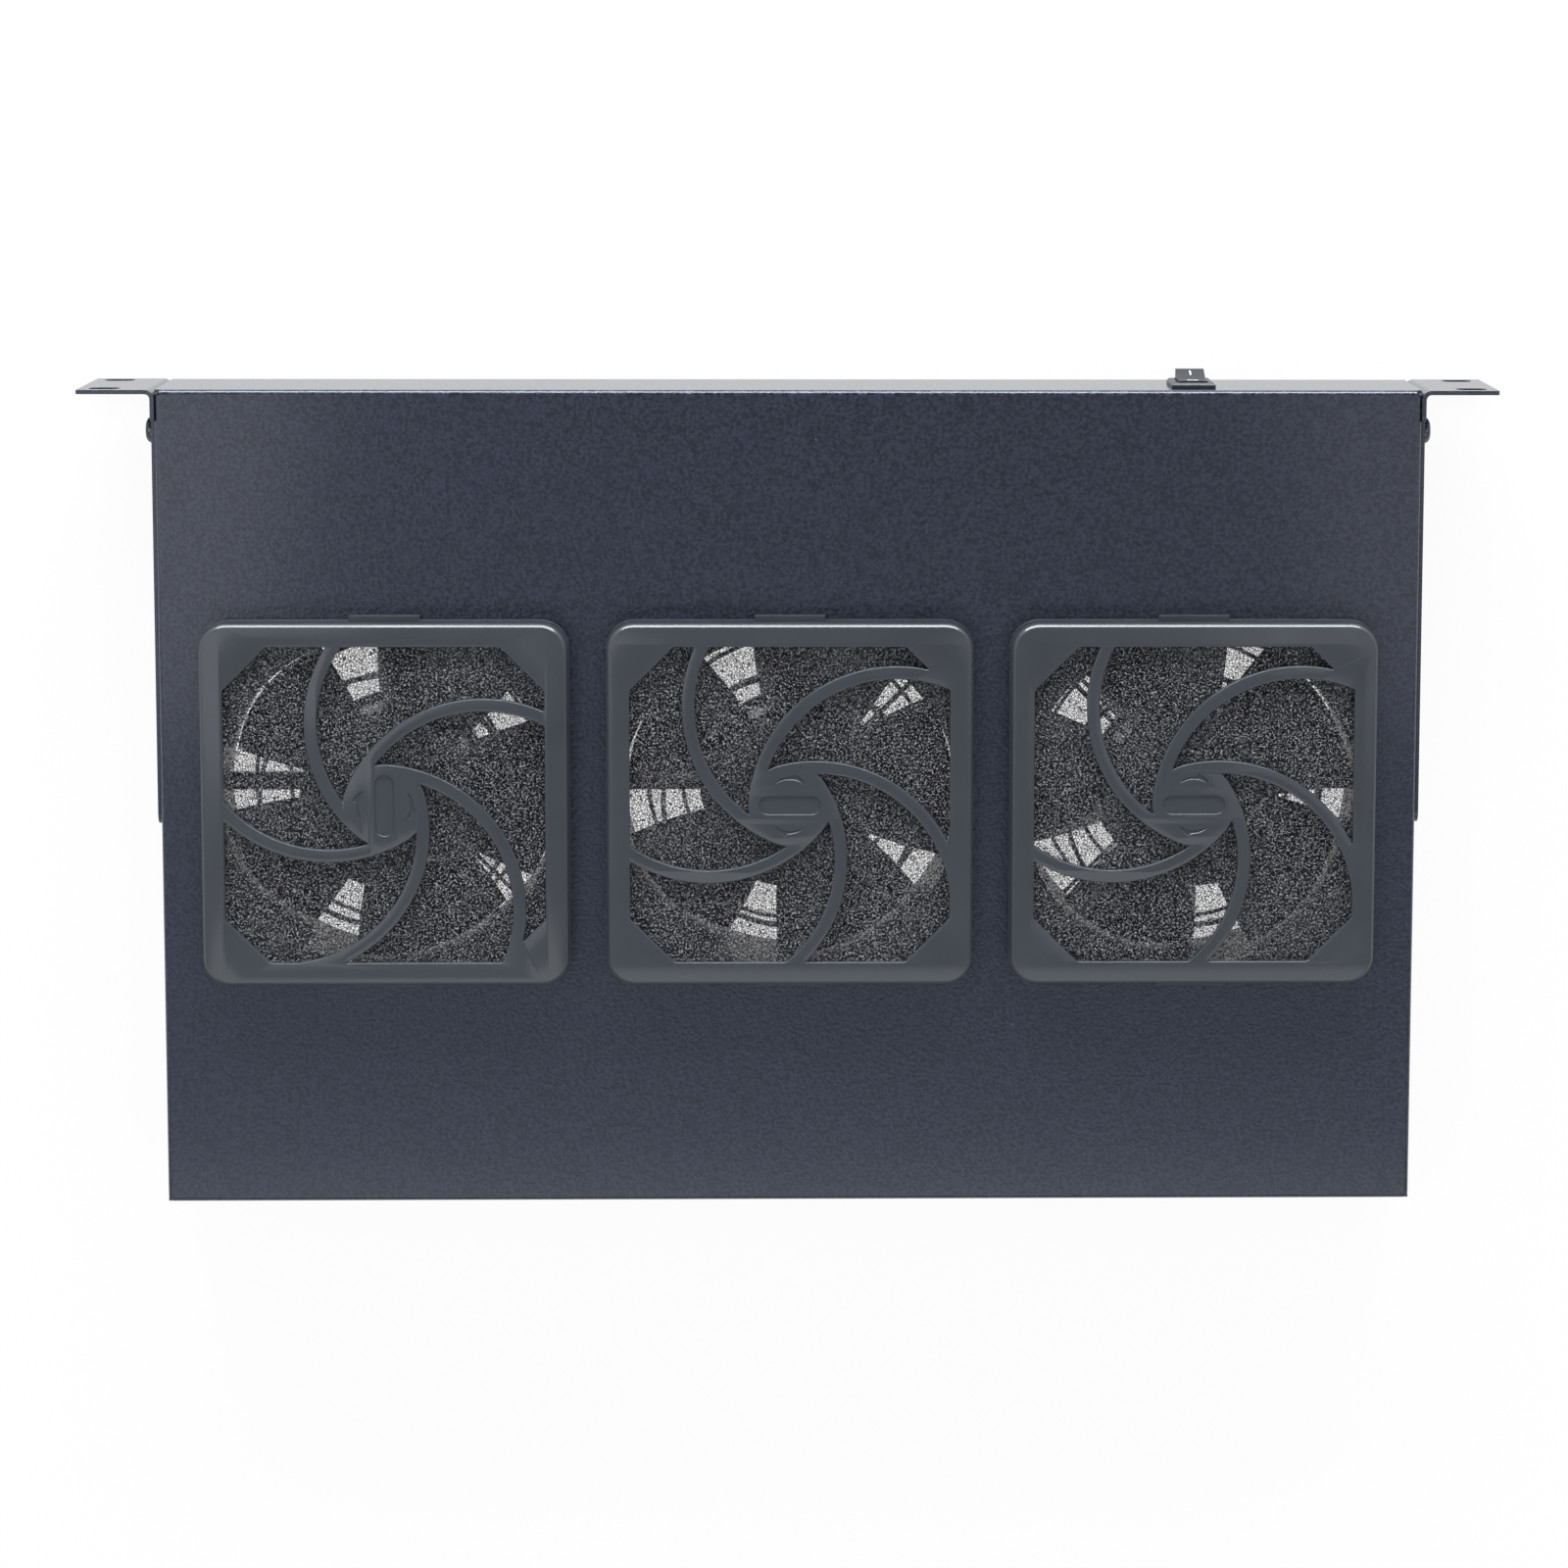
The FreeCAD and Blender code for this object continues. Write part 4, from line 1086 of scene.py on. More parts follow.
def wire_guard_tree() -> Tree:
    """Tree of a welded finger guard: rings, two crossing wires and four screw eyes.

    Returns:
        The tree.
    """
    lengths = ("Wire radius", "First ring", "Ring pitch", "Hole pitch", "Eye radius", "Weld")
    inputs = {label: Socket.LENGTH for label in lengths}
    inputs.update({"Ring count": Socket.COUNT, "Finish": Socket.MATERIAL})
    tree = Tree("wire_guard", inputs)
    index = tree.node("GeometryNodeInputIndex")
    unit = circle_curve(tree, RING_SIDES, 1.0)
    radius = tree.math("MULTIPLY_ADD", index, tree["Ring pitch"], tree["First ring"])
    dots = tree.node("GeometryNodePoints", None, {"Count": tree["Ring count"]})
    rings = tree.copies(dots, unit, Scale=tree.vector(radius, radius, 1.0))
    drop = tree.math("SUBTRACT", tree["Weld"], tree.math("MULTIPLY", tree["Wire radius"], 2.0))
    inputs = {0: rings, "Translation": tree.vector(0.0, 0.0, drop)}
    lowered = tree.node("GeometryNodeTransform", None, inputs)
    diagonal = tree.math("MULTIPLY", tree["Hole pitch"], math.sqrt(0.5))
    reach = tree.math("SUBTRACT", diagonal, tree["Eye radius"])
    minus = tree.math("MULTIPLY", reach, -1.0)
    inputs = {"Start": tree.vector(minus, 0.0, 0.0), "End": tree.vector(reach, 0.0, 0.0)}
    line = tree.node("GeometryNodeCurvePrimitiveLine", None, inputs)
    pair = tree.node("GeometryNodePoints", None, {"Count": 2})
    angle = tree.math("MULTIPLY_ADD", index, math.pi / 2, math.pi / 4)
    wires = tree.copies(pair, line, Rotation=tree.vector(0.0, 0.0, angle))
    pitch = tree["Hole pitch"]
    inputs = {"Size X": pitch, "Size Y": pitch, "Vertices X": 2, "Vertices Y": 2}
    grid = tree.node("GeometryNodeMeshGrid", None, inputs)
    eyes = tree.copies(grid, circle_curve(tree, EYE_SIDES, tree["Eye radius"]))
    tree.end((lowered, wires, eyes), circle_curve(tree, WIRE_SIDES, tree["Wire radius"]))
    return tree


def fastener_tree() -> Tree:
    """Tree that sets one fastener on each point, along the point's axis and spun at random.

    Returns:
        The tree.
    """
    tree = Tree("fasteners", {"Blank": Socket.OBJECT, "Finish": Socket.MATERIAL})
    blank = tree.node("GeometryNodeObjectInfo", None, {0: tree["Blank"]})
    axis = tree.node("GeometryNodeInputNamedAttribute", {"data_type": "FLOAT_VECTOR"}, {"Name": AXIS})
    along = {"Vector": axis.outputs["Attribute"]}
    lean = tree.node("FunctionNodeAlignRotationToVector", {"axis": "Z"}, along)
    inputs = {2: 0.0, 3: TURN, "Seed": SPIN_SEED}
    twist = tree.node("FunctionNodeRandomValue", {"data_type": "FLOAT"}, inputs)
    inputs = {0: lean, 1: tree.vector(0.0, 0.0, twist.outputs[1])}
    turn = tree.node("FunctionNodeRotateRotation", {"rotation_space": "LOCAL"}, inputs)
    tree.end((tree.copies(tree["Geometry"], blank.outputs["Geometry"], Rotation=turn),), None)
    return tree


# --- Sub-assemblies


class Place(Enum):
    """Fan places from left to right of the front panel, by the word that their nodes start with."""

    LEFT = "left"
    MIDDLE = "middle"
    RIGHT = "right"

    def centre(self) -> Vector:
        """Middle of the fan's filter holder, where it meets the tray, in millimetres."""
        low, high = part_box(f"{self.value}_filter_base")
        return Vector(((low.x + high.x) / 2, (low.y + high.y) / 2, low.z)) / MM


@dataclass
class FilterCover:
    """Clip-on filter cover: bevelled frame, five spiral arms, a hub with a grip and arrows."""

    place: Place
    turn: float = 0.0
    size: float = 124.4
    corner: float = 9.3
    top: float = 10.0
    plate: float = 2.0
    skirt_low: float = 3.7
    wall: float = 1.8
    bevel: float = 1.1
    window_edge: float = 0.4
    bevel_profile: tuple[Point, ...] = (
        (1.0, 0.0), (0.84, 0.03), (0.72, 0.12), (0.16, 0.68), (0.04, 0.82), (0.0, 1.0)
    )
    window: float = 109.0
    chamfer: float = 15.0
    arm_count: int = 5
    arm_width: float = 4.4
    arm_radius: float = 48.4
    arm_start: float = 31.7
    arm_end: float = 64.0
    arm_step: float = 3.0
    halvings: int = 40
    hub: float = 14.2
    hub_step: float = 6.0
    corner_ease: float = 0.9
    corner_gap: float = 0.2
    grip_half: Point = (10.5, 3.15)
    grip_flat: float = 0.05
    grip_depth: float = 0.4
    arrow: tuple[Point, ...] = (
        (-4.5, 7.9), (-3.2, 8.9), (-1.6, 9.6), (1.0, 9.9), (1.7, 10.8), (4.2, 8.9), (4.9, 7.2)
    )
    arrow_centre: Point = (-0.2, 0.4)
    arrow_inside: float = 8.6
    arrow_span: Point = (120.0, 62.0)
    arrow_step: float = 8.0
    arrow_depth: float = 0.25
    recess_edge: float = 0.12
    recess_draft: float = 0.1
    clip_width: float = 14.0
    clip_near: float = 58.75
    clip_far: float = 59.95
    clip_low: float = 0.35
    clip_root: float = 0.1

    def _arm_edge(self, arm: int, side: int) -> list[Point]:
        """One edge of an arm, from the hub out to the frame.

        Args:
            arm: Which arm.
            side: 1 for the outer edge, -1 for the inner.

        Returns:
            The edge's points.
        """
        heading = self.arm_start + 360 / self.arm_count * arm
        offset = self.arm_radius + self.arm_width / 2 - self.hub
        angle = math.radians(heading)
        centre = (offset * math.cos(angle), offset * math.sin(angle))
        radius = self.arm_radius + side * self.arm_width / 2
        cosine = (self.hub**2 - offset**2 - radius**2) / (2 * offset * radius)
        start = 180.0 if side > 0 else math.degrees(math.acos(cosine))
        low, high = self.arm_end, start
        for _ in range(self.halvings):
            middle = (low + high) / 2
            point = arc(centre, radius, heading + middle, heading + middle, 1)[0]
            if self._in_window(point):
                high = middle
            else:
                low = middle
        return arc(centre, radius, heading + start, heading + high, self.arm_step)

    def _in_window(self, point: Point) -> bool:
        """Whether a point lies inside the frame's opening.

        Args:
            point: A point of the cover, from its middle.

        Returns:
            True inside the opening.
        """
        half = self.window / 2
        x, y = abs(point[0]), abs(point[1])
        return x < half and y < half and x + y < 2 * half - self.chamfer

    def _window_corners(self) -> list[Point]:
        """Corners of the frame's opening, anticlockwise from the right.

        Returns:
            The eight corners.
        """
        half = self.window / 2
        inner = half - self.chamfer
        quarter = [(half, inner), (inner, half)]
        points = []
        for k in range(4):
            turn = Matrix.Rotation(math.radians(90 * k), 2)
            points += [tuple(turn @ Vector(p)) for p in quarter]
        return points

    def _opening(self, arm: int) -> list[Point]:
        """Outline of the opening between two arms, anticlockwise.

        Args:
            arm: The arm before the opening.

        Returns:
            The points, with eased corners.
        """
        near = self._arm_edge(arm, 1)
        far = self._arm_edge(arm + 1, -1)
        first = bearing(near[-1])
        span = (bearing(far[-1]) - first) % 360
        between = []
        for point in self._window_corners():
            ahead = (bearing(point) - first) % 360
            if self.corner_gap < ahead < span - self.corner_gap:
                between.append((ahead, point))
        tangent = bearing(near[0])
        back = (bearing(far[0]) - tangent) % 360
        foot = arc((0, 0), self.hub, tangent + back, tangent, self.hub_step)[1:-1]
        outline = near + [p for _, p in sorted(between)] + far[::-1] + foot
        return eased(outline, self.corner_ease)

    def _arrows(self) -> list[list[Point]]:
        """Two curved half arrows on the hub that show which way the cover lets go.

        Returns:
            The outline of each.
        """
        back = arc(self.arrow_centre, self.arrow_inside, *self.arrow_span, self.arrow_step)
        outline = back + list(self.arrow)[::-1]
        return [outline, [(-x, -y) for x, y in outline]]

    def _sunk(self, shell: Shell, outline: Sequence[Point], depth: float) -> list[Vert]:
        """Add a shallow recess.

        Args:
            shell: The cover's mesh.
            outline: The recess at the top face.
            depth: How far its floor lies below the top.

        Returns:
            The loop where it meets the top.
        """
        loops = shell.rim(outline, self.top, self.recess_edge, 1, steps=1)
        floor = shell.loop(grown(outline, -self.recess_draft), self.top - depth)
        shell.band(loops[-1], floor)
        shell.cap(floor)
        return loops[0]

    def _add_clips(self, shell: Shell, top: float) -> None:
        """Add the four tongues, one on each side, that reach down and hold the cover.

        Args:
            shell: The cover's mesh.
            top: Height of their roots.
        """
        half = self.clip_width / 2
        for quarter in range(4):
            tongue = shell.box((self.clip_near, -half, self.clip_low), (self.clip_far, half, top))
            turn = Matrix.Rotation(math.pi / 2 * quarter, 3, "Z")
            bmesh.ops.rotate(shell.mesh, verts=tongue, cent=(0, 0, 0), matrix=turn)

    def build(self, paint: Paintbox) -> bpy.types.Object:
        """Make the cover and put it over its fan.

        Args:
            paint: The finishes.

        Returns:
            The cover, on its own body.
        """
        shell = Shell()
        half, inner = self.size / 2, self.size / 2 - self.wall
        under = self.top - self.plate
        outline = rounded_box(half, half, self.corner)
        outer = [
            shell.loop(grown(outline, -inset * self.bevel), self.top - drop * self.bevel)
            for inset, drop in self.bevel_profile
        ]
        shell.stack(outer)
        foot = shell.loop(outline, self.skirt_low)
        inside = rounded_box(inner, inner, self.corner - self.wall)
        inside_low = shell.loop(inside, self.skirt_low)
        inside_top = shell.loop(inside, under)
        shell.band(outer[-1], foot)
        shell.cap(foot, [inside_low])
        shell.band(inside_low, inside_top)
        tops, lows = [], []
        for arm in range(self.arm_count):
            opening = self._opening(arm)
            edge = shell.rim(opening, self.top, self.window_edge, 1)
            low = shell.loop(opening, under)
            shell.band(edge[-1], low)
            tops.append(edge[0])
            lows.append(low)
        grip = rounded_box(*self.grip_half, min(self.grip_half) - self.grip_flat)
        tops.append(self._sunk(shell, grip, self.grip_depth))
        tops += [self._sunk(shell, arrow, self.arrow_depth) for arrow in self._arrows()]
        shell.cap(outer[0], tops)
        shell.cap(inside_top, lows)
        self._add_clips(shell, under + self.clip_root)
        word, centre = self.place.value, self.place.centre() * MM
        matrix = Matrix.Translation(centre) @ Matrix.Rotation(math.radians(self.turn), 4, "Z")
        piece = shell.finish(f"{word}_cover_shell", matrix, paint[Coat.FILTER_PLASTIC])
        return stand_in(piece, f"{word}_filter_cover", f"{word}_cover", "filter_plastic")


@dataclass
class FoamPad:
    """Open-pore filter pad with cut corners and soft edges."""

    place: Place
    size: float = 112.0
    chamfer: float = 15.0
    low: float = 2.8
    high: float = 7.7
    edge: float = 1.2
    edge_steps: int = 4
    crown: float = 0.12
    lattice: int = 28
    level: float = 0.99
    wide_face: float = 30.0
    long_edge: float = 5.0
    lump_size: float = 14.0
    lump_height: float = 0.04

    def _outline(self, inset: float) -> list[Point]:
        """The pad's outline, moved in, with short steps along each side.

        Args:
            inset: How far it is moved in.

        Returns:
            The points, anticlockwise.
        """
        half = self.size / 2 - inset
        inner = self.size / 2 - self.chamfer - inset * (math.sqrt(2) - 1)
        corners = [(half, -inner), (half, inner), (inner, half), (-inner, half)]
        corners += [(-x, -y) for x, y in corners]
        points = []
        for k, end in enumerate(corners):
            start = Vector(corners[k - 1])
            run = Vector(end) - start
            steps = max(2, round(run.length / (self.size / self.lattice)))
            points += [tuple(start + run * (s / steps)) for s in range(steps)]
        return points

    def build(self, paint: Paintbox) -> bpy.types.Object:
        """Make the pad and lay it under its cover.

        Args:
            paint: The finishes.

        Returns:
            The pad, on its cover's body.
        """
        shell = Shell()
        middle, rise = (self.high + self.low) / 2, (self.high - self.low) / 2
        loops = []
        for k in range(self.edge_steps + 1):
            angle = math.pi * k / self.edge_steps
            inset = self.edge * (1 - math.sin(angle))
            height = middle + rise * (1 - self.crown * math.sin(angle) ** 2) * math.cos(angle)
            loops.append(shell.loop(self._outline(inset), height))
        shell.stack(loops)
        shell.cap(loops[0])
        shell.cap(loops[-1])
        self._divide(shell)
        centre = self.place.centre() * MM
        self._make_uneven(shell, centre / MM)
        word = self.place.value
        piece = shell.finish(f"{word}_foam_pad", Matrix.Translation(centre), paint[Coat.FOAM])
        stand_in(piece, f"{word}_filter_foam", f"{word}_cover", "foam")
        return piece

    def _divide(self, shell: Shell) -> None:
        """Divide the long edges of the wide, flat faces, so that they can be uneven.

        Args:
            shell: The pad's mesh.
        """
        sheet = shell.mesh
        faces = [
            f for f in sheet.faces if abs(f.normal.z) > self.level or f.calc_area() > self.wide_face
        ]
        edges = list({e for f in faces for e in f.edges if e.calc_length() > self.long_edge})
        bmesh.ops.subdivide_edges(sheet, edges=edges, cuts=2, use_grid_fill=True)

    def _make_uneven(self, shell: Shell, centre: Vector) -> None:
        """Raise and lower the faces a little, within the pad's thickness.

        Args:
            shell: The pad's mesh.
            centre: Where the pad goes, in millimetres.
        """
        span = self.high - self.low
        for vert in shell.mesh.verts:
            wave = noise.noise((vert.co + centre) / self.lump_size)
            height = vert.co.z + self.lump_height * span * (wave - 0.5)
            vert.co.z = min(self.high, max(self.low, height))


@dataclass
class FanModule:
    """One axial fan: softened casting and filter holder, rotor and a round-wire finger guard."""

    place: Place
    frame_edge: float = 0.35
    holder_edge: float = 0.25
    wire: float = 1.6
    ring_start: float = 14.0
    ring_pitch: float = 12.0
    ring_count: int = 4
    hole_pitch: float = 105.0
    eye: float = 3.05
    weld: float = 0.2

    def build(self, softener: Softener, guard: Tree) -> list[bpy.types.Object]:
        """Dress the fan's pieces.

        Args:
            softener: Makes softened copies of CAD nodes.
            guard: The tree of a finger guard.

        Returns:
            The pieces.
        """
        word = self.place.value
        return [
            softener.copy(f"{word}_fan_frame", self.frame_edge),
            softener.copy(f"{word}_impeller", 0.0),
            self._guard(softener.paint, guard),
            softener.copy(f"{word}_filter_base", self.holder_edge),
        ]

    def _guard(self, paint: Paintbox, tree: Tree) -> bpy.types.Object:
        """Make the finger guard and put it on the far side of the fan.

        Args:
            paint: The finishes.
            tree: The tree of a finger guard.

        Returns:
            The guard, on the tray's body.
        """
        word = self.place.value
        values = {
            "Wire radius": self.wire / 2,
            "First ring": self.ring_start,
            "Ring pitch": self.ring_pitch,
            "Hole pitch": self.hole_pitch,
            "Eye radius": self.eye,
            "Weld": self.weld,
            "Ring count": self.ring_count,
            "Finish": paint[Coat.GUARD_WIRE],
        }
        name = f"{word}_wire_guard"
        mesh = tree.run(name, [Vector((0, 0, 0))], values)
        middle, (_, high) = self.place.centre() * MM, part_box(f"{word}_finger_guard")
        centre = Vector((middle.x, middle.y, high.z - self.wire / 2 * MM))
        mesh.transform(Matrix.Translation(centre) @ TO_METRES)
        piece = shown(name, mesh, paint[Coat.GUARD_WIRE])
        return stand_in(piece, f"{word}_finger_guard", "tray", "guard_wire")


@dataclass(frozen=True)
class ScrewBlank:
    """A pan-head screw with a cross recess, head up and seated at nought."""

    shank: float
    head: float
    head_height: float
    length: float
    dome: tuple[Point, ...] = (
        (0.40, 1.0), (0.70, 0.93), (0.90, 0.72), (1.0, 0.38), (1.0, 0.12), (0.97, 0.0)
    )
    tip: float = 0.6
    recess: float = 0.5
    recess_taper: float = 0.35
    recess_floor: float = 0.3
    cross_width: float = 0.26
    cross_draft: float = 0.9
    cross_length: float = 0.75
    sides: int = 24

    @property
    def proud(self) -> float:
        """How far the screw stands out beyond its seat."""
        return self.head_height

    def build(self) -> bpy.types.Object:
        """Make the screw as a hidden source object, in metres.

        Returns:
            The source object.
        """
        shell = Shell()
        levels = [(r * self.head / 2, z * self.head_height) for r, z in self.dome]
        radius = self.shank / 2
        levels += [(radius, 0.0), (radius, self.tip - self.length), (radius - self.tip, -self.length)]
        loops = [shell.loop(circle(r, self.sides), z) for r, z in levels]
        shell.stack(loops)
        shell.cap(loops[-1])
        cross = self._cross()
        rim = shell.loop(cross, self.head_height)
        taper = self.recess_taper
        deep = shell.loop([(x * taper, y * taper) for x, y in cross], self.head_height * self.recess_floor)
        shell.band(rim, deep)
        shell.cap(deep)
        shell.cap(loops[0], [rim])
        return hidden_source(shell, "screw_blank")

    def _cross(self) -> list[Point]:
        """Outline of the cross recess, anticlockwise.

        Returns:
            The points.
        """
        reach = self.recess * self.head / 2
        half = reach * self.cross_width
        end, far = half * self.cross_draft, reach * self.cross_length
        points = []
        for k in range(4):
            turn = Matrix.Rotation(math.pi / 2 * k, 2)
            points += [tuple(turn @ Vector(p)) for p in ((half, half), (end, far), (-end, far))]
        return points


@dataclass(frozen=True)
class NutBlank:
    """A hexagon nut with eased corners, seated at nought with its body below."""

    flats: float
    height: float
    bore: float
    proud: float = 0.0
    ease: float = 0.28
    mouth: float = 0.3
    crown: float = 0.515
    side_steps: int = 4
    bore_sides: int = 24

    def build(self) -> bpy.types.Object:
        """Make the nut as a hidden source object, in metres.

        Returns:
            The source object.
        """
        shell = Shell()
        hexagon = circle(self.flats / math.sqrt(3), HEXAGON)
        dense = []
        for k, point in enumerate(hexagon):
            after = Vector(hexagon[(k + 1) % HEXAGON])
            for step in range(self.side_steps):
                dense.append(tuple(Vector(point).lerp(after, step / self.side_steps)))
        reach = self.flats * self.crown
        crown = [tuple(Vector(p).normalized() * min(Vector(p).length, reach)) for p in dense]
        hole = circle(self.bore / 2, self.bore_sides)
        mouth = circle(self.bore / 2 + self.mouth, self.bore_sides)
        outer = self._sleeve(shell, dense, crown, self.ease)
        inner = self._sleeve(shell, hole, mouth, self.mouth)
        shell.cap(outer[0], [inner[0]])
        shell.cap(outer[-1], [inner[-1]])
        return hidden_source(shell, "nut_blank")

    def _sleeve(
        self, shell: Shell, wall: list[Point], end: list[Point], ease: float
    ) -> list[list[Vert]]:
        """Add a wall from the seat to the far end, with both ends eased.

        Args:
            shell: The nut's mesh.
            wall: Outline between the eased ends.
            end: Outline at the two faces.
            ease: Height of the easing.

        Returns:
            The loops from the seat down.
        """
        levels = ((end, 0.0), (wall, -ease), (wall, ease - self.height), (end, -self.height))
        loops = [shell.loop(outline, z) for outline, z in levels]
        shell.stack(loops)
        return loops


def hidden_source(shell: Shell, name: str) -> bpy.types.Object:
    """An object that a tree copies, not shown itself.

    Args:
        shell: The shape, in millimetres.
        name: The object's name.

    Returns:
        The hidden object.
    """
    bmesh.ops.recalc_face_normals(shell.mesh, faces=shell.mesh.faces)
    source = added(name, plain_mesh(shell.mesh, name))
    source.hide_render = True
    source.hide_viewport = True
    return source


@dataclass(frozen=True)
class Fasteners:
    """Like screws or nuts of one CAD node, each set where its plain solid is."""

    node: str
    blank: ScrewBlank | NutBlank
    coat: Coat
    outward: Vector

    def _boxes(self, source: bpy.types.Object) -> list[tuple[Vector, Vector]]:
        """Lowest and highest corners of each separate solid of the node, in millimetres.

        Args:
            source: The CAD node of the fasteners.

        Returns:
            The two corners of each solid, in a fixed order.
        """
        work = merged(source)
        left, boxes = set(work.verts), []
        while left:
            queue = [left.pop()]
            solid = list(queue)
            while queue:
                here = queue.pop()
                fresh = {edge.other_vert(here) for edge in here.link_edges} & left
                left -= fresh
                queue += fresh
                solid += fresh
            sides = list(zip(*(v.co / MM for v in solid)))
            boxes.append((Vector(map(min, sides)), Vector(map(max, sides))))
        work.free()
        return sorted(boxes, key=lambda box: tuple(box[0]))

    def _seat(self, low: Vector, high: Vector) -> tuple[Vector, Vector]:
        """Seat and axis of one fastener from the corners of its solid.

        Args:
            low: The solid's lowest corner.
            high: Its highest corner.

        Returns:
            The seat, then the axis that points out of the head.
        """
        middle = (low + high) / 2
        side = -1 if self.outward.x and middle.x < 0 else 1
        axis = self.outward * side
        reach = abs((high - low).dot(self.outward)) / 2 - self.blank.proud
        return middle + axis * reach, axis

    def build(self, frame: dict, paint: Paintbox, tree: Tree) -> bpy.types.Object:
        """Set the fasteners in place of the node.

        Args:
            frame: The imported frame.
            paint: The finishes.
            tree: The tree that sets fasteners.

        Returns:
            The fasteners as one piece.
        """
        seats = [self._seat(*box) for box in self._boxes(frame["nodes"][self.node])]
        blank = self.blank.build()
        values = {"Blank": blank, "Finish": paint[self.coat]}
        points, axes = zip(*seats)
        mesh = tree.run(f"{self.node}_set", points, values, axes)
        shape = blank.data
        bpy.data.objects.remove(blank)
        bpy.data.meshes.remove(shape)
        mesh.transform(TO_METRES)
        piece = shown(f"{self.node}_set", mesh, paint[self.coat])
        return stand_in(piece, self.node, body_of(frame, self.node), slot_of(frame, self.node))


UP, OUT, BACK = Vector((0, 0, 1)), Vector((1, 0, 0)), Vector((0, 1, 0))
FASTENERS = (
    Fasteners("fan_screws", ScrewBlank(4.0, 8.0, 2.9, 45.8), Coat.ZINC, UP),
    Fasteners("fan_nuts", NutBlank(7.0, 2.2, 4.1), Coat.ZINC, UP),
    Fasteners("ear_screws", ScrewBlank(4.0, 9.0, 2.7, 8.0), Coat.BLACK_SCREW, OUT),
    Fasteners("ear_nuts", NutBlank(7.0, 3.2, 4.1), Coat.ZINC, OUT),
    Fasteners("inlet_screws", ScrewBlank(3.0, 5.6, 1.7, 6.6), Coat.BLACK_SCREW, BACK),
    Fasteners("inlet_nuts", NutBlank(5.5, 2.4, 3.1), Coat.ZINC, BACK),
)


@dataclass
class RockerSwitch:
    """Softened rocker and bezel with a bar and a ring marked on the rocker."""

    pivot: float = 1.0
    valley: float = 2.6
    tilt: float = 11.0
    mark_reach: float = 4.6
    bar: Point = (0.5, 1.6)
    ring: float = 1.9
    stroke: float = 0.5
    proud: float = 0.04
    bar_corner: float = 0.12
    ring_sides: int = 24
    housing_edge: float = 0.3
    rocker_edge: float = 0.35

    def _mark(
        self, outlines: Sequence[Sequence[Point]], side: int, name: str, paint: Paintbox
    ) -> bpy.types.Object:
        """A thin printed mark on one flat of the rocker.

        Args:
            outlines: The mark's outline, then its hole if it has one.
            side: 1 for the flat nearer the filter covers, -1 for the other.
            name: The piece's name.
            paint: The finishes.

        Returns:
            The mark, on the rocker's body.
        """
        shell = Shell()
        tops = [shell.loop(o, self.proud) for o in outlines]
        lows = [shell.loop(o, -self.proud) for o in outlines]
        for top, low in zip(tops, lows):
            shell.band(top, low)
        shell.cap(tops[0], tops[1:])
        shell.cap(lows[0], lows[1:])
        slope = math.radians(self.tilt) * side
        flat = Matrix.Translation((0, 0, self.valley)) @ Matrix.Rotation(slope, 4, "X")
        shift = Matrix.Translation((0, side * self.mark_reach, 0))
        pivot = Matrix.Translation((0, 0, -self.pivot))
        rest = pivot @ Matrix.Rotation(-math.radians(self.tilt), 4, "X") @ pivot.inverted()
        stand = Matrix.Rotation(math.pi / 2, 4, "X")
        low, high = (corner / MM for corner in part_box("switch_housing"))
        centre = Vector(((low.x + high.x) / 2, 0, (low.z + high.z) / 2))
        whole = Matrix.Translation(centre) @ stand @ rest @ flat @ shift
        scaled = TO_METRES @ whole @ Matrix.Scale(1 / MM, 4)
        piece = shell.finish(name, scaled, paint[Coat.MARK_WHITE])
        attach(piece, "rocker")
        return piece

    def build(self, softener: Softener) -> list[bpy.types.Object]:
        """Dress the switch.

        Args:
            softener: Makes softened copies of CAD nodes.

        Returns:
            The housing, the rocker and its two marks.
        """
        width, half_height = self.bar
        bar = rounded_box(width / 2, half_height, self.bar_corner)
        ring = [circle(r, self.ring_sides) for r in (self.ring, self.ring - self.stroke)]
        return [
            softener.copy("switch_housing", self.housing_edge),
            softener.copy("switch_rocker", self.rocker_edge),
            self._mark([bar], -1, "rocker_bar_mark", softener.paint),
            self._mark(ring, 1, "rocker_ring_mark", softener.paint),
        ]


# --- Studio


@dataclass(frozen=True)
class SoftBox:
    """A large area lamp."""

    name: str
    place: tuple[float, float, float]
    size: tuple[float, float]
    watts: float
    aim: tuple[float, float, float] = (0.0, 0.14, 0.0)

    def build(self) -> bpy.types.Object:
        """Hang the lamp and point it at the tray.

        Returns:
            The lamp.
        """
        lamp = bpy.data.lights.new(self.name, "AREA")
        lamp.shape = "RECTANGLE"
        lamp.size, lamp.size_y = self.size
        lamp.energy = self.watts
        holder = added(self.name, lamp)
        turn = (Vector(self.aim) - Vector(self.place)).to_track_quat("-Z", "Y")
        holder.matrix_world = Matrix.LocRotScale(Vector(self.place), turn, None)
        return holder


